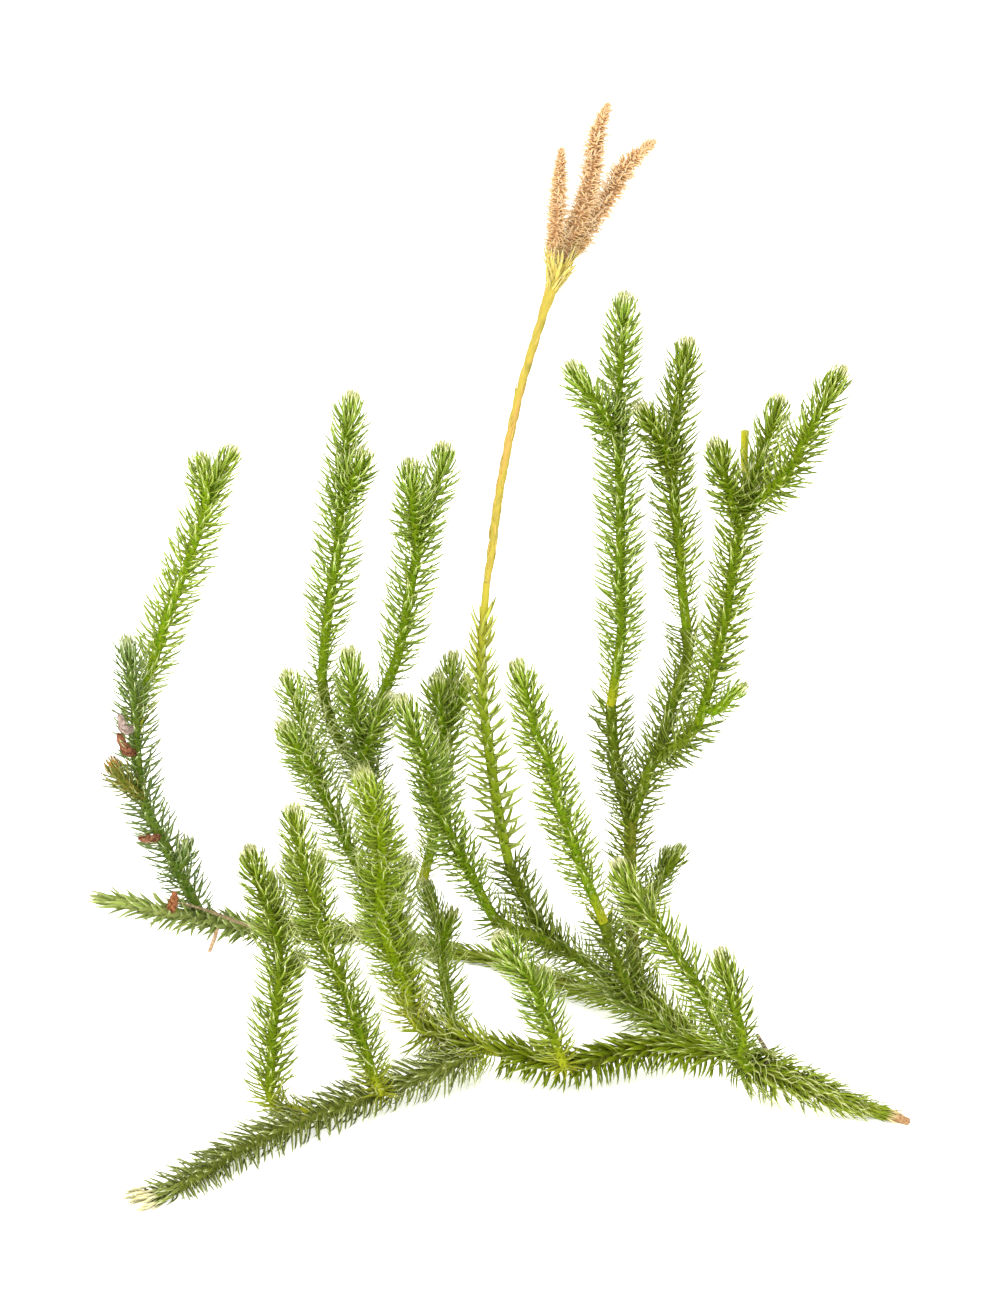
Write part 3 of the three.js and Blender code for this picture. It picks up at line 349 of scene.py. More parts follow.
# Over these shares of its blade a leaf's or bract's foot turns into the blade's colour, and that into the
# point's. A leaf's pale edge colour, partly painted light shining through its thin margins, fades inwards by
# the power, and a bract's over that share of its half width.
LEAF_FOOT_FADE = (0.0, 0.3)
LEAF_POINT_FADE = (0.8, 1.0)
LEAF_EDGE_POWER = 1.5
BRACT_FOOT_FADE = (0.1, 0.55)
BRACT_POINT_FADE = (0.75, 1.0)
BRACT_EDGE_FADE = (0.4, 1.0)

# A cone's scales are browned by this share at its base, and not at all above that share of its height
BROWNED_BASE = 0.75
BROWNED_UP_TO = 0.35

# Waxy plant skin hardly shines. On the plant the bare stalk is the smoothest, and what is dry the roughest.
SKIN_SHINE = 0.05
BLADE_ROUGHNESS = 0.5
STALK_ROUGHNESS = 0.45
STEM_ROUGHNESS = 0.55
DULL_ROUGHNESS = 0.6
BRACT_ROUGHNESS = 0.75
DRY_ROUGHNESS = 0.8
FLOOR_ROUGHNESS = 0.9

# Patterns: the values of a pattern over which one colour turns into the other, its detail, how often a
# stem's streaks change round it and along each mm, how the stalk's streaks twist in radians a mm, and the
# sizes of patches in mm
MOTTLED = (0.35, 0.65)
ORANGE_STREAKS = (0.1, 1.0)
OLIVE_PATCHES = (0.5, 0.75)
DETAIL = 3.0
STREAKS_ROUND = 1.6
STREAKS_PER_MM = 0.35
STALK_TWIST_PER_MM = 0.12
STALK_PATCH = 5
HAIR_PATCH = 4
CORE_PATCH = 1.2
DRY_PATCH = 0.6
FLOOR_PATCH = 500

# The studio: half the floor's side in metres, the strengths of its glow, the sky and the sun, and how
# softly and from where the sun shines, in degrees
FLOOR_HALF = 3
FLOOR_GLOW = 0.48
SKY_STRENGTH = 1.6
SUN_STRENGTH = 1.7
SUN_SPREAD = 35
SUN_TURN = (28, -22, 0)


def spot(across, up, back):
    """A place of the plant in metres."""
    height = (up - back * math.sin(VIEW_TILT)) / math.cos(VIEW_TILT)
    return Vector((across - MIDDLE["across"], back - MIDDLE["back"], height)) * MM


def smooth_path(points):
    """Points a little over a mm apart on the centripetal Catmull-Rom curve through a stem's points."""
    places = [spot(*point) for point in points]
    ends = [places[0] * 2 - places[1], *places, places[-1] * 2 - places[-2]]
    path = [places[0]]
    for a, b, c, d in zip(ends, ends[1:], ends[2:], ends[3:]):
        before, here, after = ((q - p).length ** 0.5 for p, q in ((a, b), (b, c), (c, d)))
        leave = ((b - a) / before - (c - a) / (before + here) + (c - b) / here) * here
        arrive = ((c - b) / here - (d - b) / (here + after) + (d - c) / after) * here
        steps = max(1, math.ceil((c - b).length / (PATH_STEP * MM)))
        for i in range(1, steps + 1):
            t = i / steps
            path.append(b * (2 * t**3 - 3 * t**2 + 1) + leave * (t**3 - 2 * t**2 + t)
                        + c * (3 * t**2 - 2 * t**3) + arrive * (t**3 - t**2))
    return path


def mix(a, b, share):
    return a + (b - a) * share


def stem_radius(stem, share):
    """A leafy stem's radius in mm, slimmer towards a growing tip."""
    radius = stem.get("radius", YOUNG_RADIUS if stem["habit"] == "young" else OLD_RADIUS)
    tip = RUNNER_TIP_RADIUS if stem["habit"] == "runner" else TIP_RADIUS
    end = stem.get("end_radius", tip if stem.get("tip") else radius * OLD_TAPER)
    return mix(radius, end, share * share)


def listed_radius(radii, share):
    """The radius at a share of a path whose radii are listed at even shares."""
    place = share * (len(radii) - 1)
    i = min(len(radii) - 2, int(place))
    return mix(radii[i], radii[i + 1], place - i)


def cone_radius(cone, share):
    return cone["radius"] * CONE_CORE * (1 - CONE_TAPER * share**3)


def linear(hex_colour):
    """An sRGB hex colour as linear RGBA."""
    channels = [int(hex_colour[i:i + 2], 16) / 255 for i in (1, 3, 5)]
    return (*(c / 12.92 if c <= 0.04045 else ((c + 0.055) / 1.055) ** 2.4 for c in channels), 1)


def add(tree, kind, inputs=(), out=0, **settings):
    """Adds a node and returns one of its outputs.

    Its inputs, in order or by name, are values, other nodes' outputs, or names of stored attributes.
    """
    made = tree.nodes.new(kind)
    for name, value in settings.items():
        setattr(made, name, value)
    for name, value in inputs.items() if isinstance(inputs, dict) else enumerate(inputs):
        socket = made.inputs[name]
        if isinstance(value, str) and socket.type != "STRING":
            if tree.type == "GEOMETRY":
                value = add(tree, "GeometryNodeInputNamedAttribute", {"Name": value}, data_type="FLOAT")
            else:
                value = add(tree, "ShaderNodeAttribute", out="Fac", attribute_name=value)
        if isinstance(value, bpy.types.NodeSocket):
            tree.links.new(value, socket)
        else:
            socket.default_value = value
    return made.outputs[out]


def leaf_mesh(name, seed, curl, hair, frizz, half_widths):
    """One leaf of unit length that grows along +Z from the origin and curves towards -X, where its stem is.

    It has a flat face to the stem, a keel behind, and ends in a hair of that length that wanders by frizz.
    """
    draw = random.Random(seed)
    place, heading, aside = Vector((0, 0, 0)), 0.0, 0.0
    points, outs, acrosses = [], [], []
    stations = list(zip(LEAF_STATIONS, half_widths))
    stations += [(1 + hair * i / HAIR_STEPS, mix(HAIR_START, HAIR_END, i / HAIR_STEPS))
                 for i in range(1, HAIR_STEPS + 1)]
    sway = draw.uniform(-LEAF_SWAY, LEAF_SWAY)
    last = 0.0
    for out, half in stations:
        step = out - last
        last = out
        if out <= 1:
            heading += curl * step
            aside += sway * step
        else:
            heading += draw.uniform(-frizz, frizz)
            aside += draw.uniform(-frizz, frizz)
        ahead = math.cos(aside)
        along = Vector((-math.sin(heading) * ahead, math.sin(aside), math.cos(heading) * ahead))
        place = place + along * step
        behind = Vector((math.cos(heading), 0, math.sin(heading)))
        side = along.cross(behind).normalized()
        points += [place - side * half, place + side * half, place + behind * half * 2 * LEAF_KEEL]
        outs += [out] * 3
        acrosses += [-1.0, 1.0, 0.0]
    faces = [(0, 1, 2)]
    for i in range(0, len(points) - 3, 3):
        faces += [(i + a, i + 3 + a, i + 3 + b, i + b) for a, b in ((0, 1), (1, 2), (2, 0))]
    end = len(points) - 3
    faces.append((end + 2, end + 1, end))
    mesh = bpy.data.meshes.new(name)
    mesh.from_pydata(points, [], faces)
    for label, values in (("out", outs), ("across", acrosses)):
        mesh.attributes.new(label, "FLOAT", "POINT").data.foreach_set("value", values)
    mesh.shade_smooth()
    return mesh


def leaf_set(name, seed, curls, hairs, frizz, half_widths=LEAF_HALF_WIDTHS):
    """A collection of leaves that differ in their curl and the length of their hair.

    The first five stand down the stem, and any after them at its growing tip.
    """
    kept = bpy.data.collections.new(name)
    for i, (curl, hair) in enumerate(zip(curls, hairs)):
        mesh = leaf_mesh(f"{name}_{i}", seed + i, math.radians(curl), hair, frizz, half_widths)
        kept.objects.link(bpy.data.objects.new(mesh.name, mesh))
    return kept


def leafy_stem_tree():
    """Dresses a wire of stems: a ridged core, and leaves in ranks that close up towards a growing tip."""
    tree = bpy.data.node_groups.new("leafy stem", "GeometryNodeTree")
    numbers = ("Spacing", "Crowding", "Length", "Tip Length", "Base Lean", "Tip Lean", "Reach", "Overhang",
               "Droop", "Jitter", "Bare Base", "Bare Tip", "Ridge", "Twist")
    kinds = {"Geometry": "Geometry", **dict.fromkeys(numbers, "Float"), "Seed": "Int",
             "Leaves": "Collection", "Leaf Material": "Material", "Hair Material": "Material",
             "Stem Material": "Material"}
    for name, kind in kinds.items():
        tree.interface.new_socket(name, in_out="INPUT", socket_type=f"NodeSocket{kind}")
    tree.interface.new_socket("Geometry", in_out="OUTPUT", socket_type="NodeSocketGeometry")
    given = tree.nodes.new("NodeGroupInput").outputs
    wire = add(tree, "GeometryNodeMeshToCurve", {"Mesh": given["Geometry"]})
    factor = add(tree, "GeometryNodeSplineParameter", out="Factor")
    travelled = factor.node.outputs["Length"]

    # The core, with the distance up the stem and the share of the way round it for its colour
    core = add(tree, "GeometryNodeStoreNamedAttribute",
               {"Geometry": wire, "Name": "from_base", "Value": travelled})
    core = add(tree, "GeometryNodeResampleCurve", {"Curve": core, "Length": CORE_STEP * MM}, mode="LENGTH")
    twist = add(tree, "ShaderNodeMath", [given["Twist"], travelled], operation="MULTIPLY")
    core = add(tree, "GeometryNodeSetCurveTilt", {"Curve": core, "Tilt": twist})
    ring = add(tree, "GeometryNodeCurvePrimitiveCircle", {"Resolution": CORE_SIDES, "Radius": 1.0})
    ring = add(tree, "GeometryNodeStoreNamedAttribute",
               {"Geometry": ring, "Name": "around", "Value": factor})
    core = add(tree, "GeometryNodeCurveToMesh",
               {"Curve": core, "Profile Curve": ring, "Scale": "core_radius", "Fill Caps": True})
    wave = add(tree, "ShaderNodeMath", ["around", math.pi * CORE_SIDES], operation="MULTIPLY")
    wave = add(tree, "ShaderNodeMath", [wave], operation="COSINE")
    height = add(tree, "ShaderNodeMath", [wave, given["Ridge"]], operation="MULTIPLY")
    facing = add(tree, "GeometryNodeInputNormal")
    ridge = add(tree, "ShaderNodeVectorMath", {0: facing, "Scale": height}, operation="SCALE")
    core = add(tree, "GeometryNodeSetPosition", {"Geometry": core, "Offset": ridge})
    core = add(tree, "GeometryNodeSetShadeSmooth", {"Geometry": core})
    core = add(tree, "GeometryNodeSetMaterial", {"Geometry": core, "Material": given["Stem Material"]})

    # Leaf places, closer together towards a growing tip. The stem counts as longer by the extra, which is
    # then taken out again at the crowded top.
    length = add(tree, "GeometryNodeSplineLength", out="Length")
    places = add(tree, "GeometryNodeStoreNamedAttribute",
                 {"Geometry": wire, "Name": "stem_length", "Value": length})
    places = add(tree, "GeometryNodeResampleCurve", {"Curve": places, "Length": given["Spacing"]},
                 mode="LENGTH")
    extra = add(tree, "ShaderNodeMath", [given["Crowding"], "growing"], operation="MULTIPLY")
    extra = add(tree, "ShaderNodeMath", [extra, CROWDED_TOP * MM], operation="MULTIPLY")
    stretched = add(tree, "ShaderNodeMath", ["stem_length", extra], operation="ADD")
    to_go = add(tree, "ShaderNodeMath", [1.0, factor], operation="SUBTRACT")
    stretched = add(tree, "ShaderNodeMath", [to_go, stretched], operation="MULTIPLY")
    fading = add(tree, "ShaderNodeMath", [stretched, -1 / (CROWDED_TOP * MM)], operation="MULTIPLY")
    fading = add(tree, "ShaderNodeMath", [fading], operation="EXPONENT")
    taken = add(tree, "ShaderNodeMath", [1.0, fading], operation="SUBTRACT")
    taken = add(tree, "ShaderNodeMath", [extra, taken], operation="MULTIPLY")
    down = add(tree, "ShaderNodeMath", [stretched, taken], operation="SUBTRACT")
    down = add(tree, "ShaderNodeMath", [down, "stem_length"], operation="DIVIDE")
    share = add(tree, "ShaderNodeMath", [1.0, down], operation="SUBTRACT")
    places = add(tree, "GeometryNodeStoreNamedAttribute",
                 {"Geometry": places, "Name": "share", "Value": share})
    curve = add(tree, "GeometryNodeCurveOfPoint", out="Curve Index")
    moved = add(tree, "GeometryNodeSampleCurve", {"Curves": wire, "Factor": "share", "Curve Index": curve},
                out="Position", mode="FACTOR")
    places = add(tree, "GeometryNodeSetPosition", {"Geometry": places, "Position": moved})
    places = add(tree, "GeometryNodeCurveToPoints", {"Curve": places}, mode="EVALUATED")
    tangent, normal = (places.node.outputs[name] for name in ("Tangent", "Normal"))

    # How far it is from the ends. A stem that has stopped growing counts as a metre longer.
    along = add(tree, "ShaderNodeMath", ["share", "stem_length"], operation="MULTIPLY")
    from_end = add(tree, "ShaderNodeMath", ["stem_length", along], operation="SUBTRACT")
    settled = add(tree, "ShaderNodeMath", [1.0, "growing"], operation="SUBTRACT")
    from_tip = add(tree, "ShaderNodeMath", [from_end, settled], operation="ADD")

    drawn = {}
    for name, (salt, low, high) in DRAWS.items():
        seed = add(tree, "ShaderNodeMath", [given["Seed"], salt], operation="ADD")
        drawn[name] = add(tree, "FunctionNodeRandomValue", {2: low, 3: high, "Seed": seed}, out=1,
                          data_type="FLOAT")

    # Which way each leaf grows
    index = add(tree, "GeometryNodeInputIndex")
    turn = add(tree, "ShaderNodeMath", [index, DIVERGENCE, drawn["turn"]], operation="MULTIPLY_ADD")
    outward = add(tree, "ShaderNodeVectorRotate", {"Vector": normal, "Axis": tangent, "Angle": turn})
    lean = add(tree, "ShaderNodeMapRange", {"Value": from_tip, "From Max": given["Reach"],
                                            "To Min": given["Tip Lean"], "To Max": given["Base Lean"]})
    upwards = add(tree, "ShaderNodeSeparateXYZ", [outward], out=2)
    lifted = add(tree, "ShaderNodeMath", [given["Droop"], upwards], operation="MULTIPLY")
    lean = add(tree, "ShaderNodeMath", [lean, lifted], operation="SUBTRACT")
    lean = add(tree, "ShaderNodeMath", [drawn["lean"], given["Jitter"], lean], operation="MULTIPLY_ADD")
    upright = add(tree, "FunctionNodeAxesToRotation", {"Primary Axis": tangent, "Secondary Axis": outward},
                  primary_axis="Z", secondary_axis="X")
    tilt = add(tree, "ShaderNodeCombineXYZ", {"Y": lean, "Z": drawn["roll"]})
    tilt = add(tree, "FunctionNodeEulerToRotation", [tilt])
    turned = add(tree, "FunctionNodeRotateRotation", [upright, tilt], rotation_space="LOCAL")

    # How long it is. It ends no further beyond the stem's end than the overhang.
    size = add(tree, "ShaderNodeMapRange",
               {"Value": from_tip, "From Max": given["Reach"], "To Min": given["Tip Length"]})
    small = add(tree, "ShaderNodeMath", ["short", SHORT_SHARE], operation="MULTIPLY")
    small = add(tree, "ShaderNodeMath", [1.0, small], operation="SUBTRACT")
    for times in (small, given["Length"], drawn["size"]):
        size = add(tree, "ShaderNodeMath", [size, times], operation="MULTIPLY")
    room = add(tree, "ShaderNodeMath", [from_tip, given["Overhang"]], operation="ADD")
    room = add(tree, "ShaderNodeMath", [room, 1 / LEAF_WITH_HAIR], operation="MULTIPLY")
    size = add(tree, "ShaderNodeMath", [size, room], operation="MINIMUM")

    # Which leaf it is. The bare ends have none.
    seed = add(tree, "ShaderNodeMath", [given["Seed"], CHOICE_DRAW], operation="ADD")
    lower, upper = (add(tree, "FunctionNodeRandomValue", {4: first, 5: last, "Seed": seed}, out=2,
                        data_type="INT") for first, last in (LOWER_LEAVES, TOP_LEAVES))
    at_top = add(tree, "FunctionNodeCompare", [from_tip, drawn["top_zone"]], data_type="FLOAT",
                 operation="LESS_THAN")
    which = add(tree, "GeometryNodeSwitch", {"Switch": at_top, "False": lower, "True": upper},
                input_type="INT")
    above = add(tree, "FunctionNodeCompare", [along, given["Bare Base"]], data_type="FLOAT",
                operation="GREATER_THAN")
    below = add(tree, "FunctionNodeCompare", [from_end, given["Bare Tip"]], data_type="FLOAT",
                operation="GREATER_EQUAL")
    leafy = add(tree, "FunctionNodeBooleanMath", [above, below], operation="AND")

    root = add(tree, "ShaderNodeMath", ["core_radius", LEAF_START], operation="MULTIPLY")
    root = add(tree, "ShaderNodeVectorMath", {0: outward, "Scale": root}, operation="SCALE")
    places = add(tree, "GeometryNodeSetPosition", {"Geometry": places, "Offset": root})
    chosen = add(tree, "GeometryNodeCollectionInfo",
                 {"Collection": given["Leaves"], "Separate Children": True, "Reset Children": True})
    leaves = add(tree, "GeometryNodeInstanceOnPoints",
                 {"Points": places, "Selection": leafy, "Instance": chosen, "Pick Instance": True,
                  "Instance Index": which, "Rotation": turned, "Scale": size})
    marks = {"shade": drawn["shade"], "up_stem": "share", "from_tip": from_tip, "blade": size}
    for name, value in marks.items():
        leaves = add(tree, "GeometryNodeStoreNamedAttribute",
                     {"Geometry": leaves, "Name": name, "Value": value}, domain="INSTANCE")
    leaves = add(tree, "GeometryNodeRealizeInstances", {"Geometry": leaves})
    reached = add(tree, "ShaderNodeMath", ["out", "blade"], operation="MULTIPLY")
    below_top = add(tree, "ShaderNodeMath", ["from_tip", reached], operation="SUBTRACT")
    leaves = add(tree, "GeometryNodeStoreNamedAttribute",
                 {"Geometry": leaves, "Name": "below_top", "Value": below_top})
    is_hair = add(tree, "FunctionNodeCompare", ["out", 1.0], data_type="FLOAT", operation="GREATER_THAN")
    leaves = add(tree, "GeometryNodeSetMaterial", {"Geometry": leaves, "Material": given["Leaf Material"]})
    leaves = add(tree, "GeometryNodeSetMaterial",
                 {"Geometry": leaves, "Selection": is_hair, "Material": given["Hair Material"]})

    # Nothing goes through the floor. Leaves that would are laid on it with a share of their height.
    position = add(tree, "GeometryNodeInputPosition")
    lying = add(tree, "ShaderNodeVectorMath",
                [position, (1.0, 1.0, LYING_SHARE), (0.0, 0.0, LEAF_SKIN * MM)], operation="MULTIPLY_ADD")
    clear = add(tree, "ShaderNodeVectorMath", [position, lying], operation="MAXIMUM")
    leaves = add(tree, "GeometryNodeSetPosition", {"Geometry": leaves, "Position": clear})
    whole = add(tree, "GeometryNodeJoinGeometry", {"Geometry": core})
    tree.links.new(leaves, whole.node.inputs["Geometry"])
    lowest = (OUT_OF_REACH, OUT_OF_REACH, FLOOR_SKIN * MM)
    clear = add(tree, "ShaderNodeVectorMath", [position, lowest], operation="MAXIMUM")
    whole = add(tree, "GeometryNodeSetPosition", {"Geometry": whole, "Position": clear})
    tree.links.new(whole, tree.nodes.new("NodeGroupOutput").inputs["Geometry"])
    return tree


def wire_object(name, paths, radius_at, growing, yellow_base=0.0, yellow_top=0.0, short_base=SHORT_BASE):
    """A mesh of open chains of edges, one for each path, with each point's radius.

    The first path is yellow at its base and at its top, and its leaves are shorter at its base. All these
    fade out over that many mm.
    """
    points, edges, radii, yellows, shorts = [], [], [], [], []
    for path in paths:
        length = sum((b - a).length for a, b in zip(path, path[1:]))
        along = 0.0
        for i, point in enumerate(path):
            if i:
                along += (point - path[i - 1]).length
                edges.append((len(points) - 1, len(points)))
            points.append(point)
            radii.append(radius_at(along / length) * MM)
            fades = [(along, yellow_base), (length - along, yellow_top)] if path is paths[0] else []
            yellows.append(max([0.0] + [1 - far / (reach * MM) for far, reach in fades if reach]))
            foot = short_base if path is paths[0] else SHORT_BASE
            shorts.append(max(0.0, 1 - along / (foot * MM)))
    mesh = bpy.data.meshes.new(name)
    mesh.from_pydata(points, edges, [])
    for label, values in (("core_radius", radii), ("growing", [float(growing)] * len(points)),
                          ("yellow", yellows), ("short", shorts)):
        mesh.attributes.new(label, "FLOAT", "POINT").data.foreach_set("value", values)
    made = bpy.data.objects.new(name, mesh)
    bpy.context.scene.collection.objects.link(made)
    return made


def dress(piece, tree, inputs):
    """Runs a tree on a piece with those inputs, and keeps the result as its plain mesh."""
    modifier = piece.modifiers.new("grow", "NODES")
    modifier.node_group = tree
    sockets = {item.name: item.identifier for item in tree.interface.items_tree if item.in_out == "INPUT"}
    for name, value in inputs.items():
        modifier[sockets[name]] = value
    grown = bpy.data.meshes.new_from_object(piece.evaluated_get(bpy.context.evaluated_depsgraph_get()))
    piece.modifiers.clear()
    piece.data = grown


def stem_inputs(habit, seed, leaves, leaf, hair, stem, **changes):
    """The tree's inputs for a kind of stem, in metres and radians."""
    kind = {**USUAL_HABIT, **HABITS[habit], **changes}
    return {
        "Spacing": kind["spacing"] * MM, "Crowding": kind["crowding"], "Length": kind["length"] * MM,
        "Tip Length": kind["tip_length"], "Base Lean": math.radians(kind["base_lean"]),
        "Tip Lean": math.radians(kind["tip_lean"]), "Reach": kind["reach"] * MM,
        "Overhang": kind["overhang"] * MM, "Droop": math.radians(kind["droop"]),
        "Jitter": math.radians(kind["jitter"]), "Bare Base": kind["bare_base"] * MM,
        "Bare Tip": kind["bare_tip"] * MM, "Ridge": kind["ridge"] * MM,
        "Twist": math.radians(kind["twist"]) / MM, "Seed": seed, "Leaves": leaves,
        "Leaf Material": leaf, "Hair Material": hair, "Stem Material": stem,
    }


def merged(pieces):
    """Several objects as one, the first."""
    with bpy.context.temp_override(active_object=pieces[0], selected_editable_objects=pieces):
        bpy.ops.object.join()
    return pieces[0]


def declare(piece, nodes):
    """The piece hangs from the root body and stands for those nodes of the part, which are hidden."""
    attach(piece, "root")
    if nodes:
        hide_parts(*nodes)


def principled(name, roughness):
    """A new material, with its tree, its shader and the soft shine of a plant's skin."""
    material = bpy.data.materials.new(name)
    material.use_nodes = True
    tree = material.node_tree
    shader = tree.nodes["Principled BSDF"]
    shader.inputs["Roughness"].default_value = roughness
    shader.inputs["Specular IOR Level"].default_value = SKIN_SHINE
    return material, tree, shader


def fade(tree, value, start, end, low, high):
    """Turns from one colour to another, each hex or a node's output, as the value goes from start to end."""
    share = add(tree, "ShaderNodeMapRange", {"Value": value, "From Min": start, "From Max": end})
    low, high = (linear(colour) if isinstance(colour, str) else colour for colour in (low, high))
    return add(tree, "ShaderNodeMix", {0: share, 6: low, 7: high}, out=2, data_type="RGBA")


def shaded(tree, colour, darkest, lightest):
    """The colour, a little darker or lighter from leaf to leaf."""
    value = add(tree, "ShaderNodeMapRange", {"Value": "shade", "To Min": darkest, "To Max": lightest})
    return add(tree, "ShaderNodeHueSaturation", {"Value": value, "Color": colour})


def leaf_material(name, root, blade, edge, tip, roughness=BLADE_ROUGHNESS, yellow="#B4B430", top="#F0E8B8"):
    """Leaf of a creeping clubmoss: a thin blade with a foot and a point in colours of their own, and paler
    edges that are partly its own colour and partly painted light shining through the thin margins.

    Leaves that reach a growing tip's top take the top's colour, and those at a young shoot's base are yellow.
    """
    material, tree, shader = principled(name, roughness)
    rim = add(tree, "ShaderNodeMath", ["across"], operation="ABSOLUTE")
    rim = add(tree, "ShaderNodeMath", [rim, LEAF_EDGE_POWER], operation="POWER")
    colour = fade(tree, "out", *LEAF_FOOT_FADE, root, blade)
    # Pale edges: partly the leaf's own colour, partly painted light shining through its thin margins
    colour = fade(tree, rim, 0.0, 1.0, colour, edge)
    colour = fade(tree, "out", *LEAF_POINT_FADE, colour, tip)
    colour = fade(tree, "yellow", 0.0, 1.0, colour, yellow)
    colour = fade(tree, "below_top", PALE_TOP[0] * MM, PALE_TOP[1] * MM, colour, top)
    tree.links.new(shaded(tree, colour, *LEAF_SHADES), shader.inputs["Base Color"])
    return material


def stem_material(name, low, high, yellow="#AEAE24"):
    """Green skin of a stem, streaked along its length between two colours, and yellow where marked so."""
    material, tree, shader = principled(name, STEM_ROUGHNESS)
    around = add(tree, "ShaderNodeMath", ["around", 2 * math.pi], operation="MULTIPLY")
    cosine = add(tree, "ShaderNodeMath", [around], operation="COSINE")
    sine = add(tree, "ShaderNodeMath", [around], operation="SINE")
    along = add(tree, "ShaderNodeMath", ["from_base", STREAKS_PER_MM / MM], operation="MULTIPLY")
    place = add(tree, "ShaderNodeCombineXYZ", [cosine, sine, along])
    streaks = add(tree, "ShaderNodeTexNoise", {"Vector": place, "Scale": STREAKS_ROUND, "Detail": DETAIL})
    colour = fade(tree, streaks, *MOTTLED, low, high)
    colour = fade(tree, "yellow", 0.0, 1.0, colour, yellow)
    tree.links.new(colour, shader.inputs["Base Color"])
    return material


def stalk_material(name, yellow, orange, olive):
    """Waxy skin of the bare stalk: yellow, with long twisted streaks of orange and patches of olive."""
    material, tree, shader = principled(name, STALK_ROUGHNESS)
    around = add(tree, "ShaderNodeMath", ["around", 2 * math.pi], operation="MULTIPLY")
    twist = add(tree, "ShaderNodeMath", ["from_base", STALK_TWIST_PER_MM / MM, around],
                operation="MULTIPLY_ADD")
    wave = add(tree, "ShaderNodeMath", [twist], operation="SINE")
    place = add(tree, "ShaderNodeTexCoord", out="Object")
    patches = add(tree, "ShaderNodeTexNoise",
                  {"Vector": place, "Scale": 1 / (STALK_PATCH * MM), "Detail": DETAIL})
    colour = fade(tree, wave, *ORANGE_STREAKS, yellow, orange)
    colour = fade(tree, patches, *OLIVE_PATCHES, colour, olive)
    tree.links.new(colour, shader.inputs["Base Color"])
    return material


def plain_material(name, low, high, patch, roughness):
    """A dry or waxy surface mottled between two colours, with patches of that size in mm."""
    material, tree, shader = principled(name, roughness)
    place = add(tree, "ShaderNodeTexCoord", out="Object")
    patches = add(tree, "ShaderNodeTexNoise",
                  {"Vector": place, "Scale": 1 / (patch * MM), "Detail": DETAIL})
    tree.links.new(fade(tree, patches, *MOTTLED, low, high), shader.inputs["Base Color"])
    return material


def bract_material(name, foot, blade, edge, tip, aged):
    """Papery scale of a cone, browner at its foot. The cone's lowest scales are browner all over."""
    material, tree, shader = principled(name, BRACT_ROUGHNESS)
    rim = add(tree, "ShaderNodeMath", ["across"], operation="ABSOLUTE")
    low = add(tree, "ShaderNodeMapRange",
              {"Value": "up_stem", "From Max": BROWNED_UP_TO, "To Min": BROWNED_BASE, "To Max": 0.0})
    colour = fade(tree, "out", *BRACT_FOOT_FADE, foot, blade)
    colour = fade(tree, rim, *BRACT_EDGE_FADE, colour, edge)
    colour = fade(tree, "out", *BRACT_POINT_FADE, colour, tip)
    colour = fade(tree, low, 0.0, 1.0, colour, aged)
    tree.links.new(shaded(tree, colour, *BRACT_SHADES), shader.inputs["Base Color"])
    return material
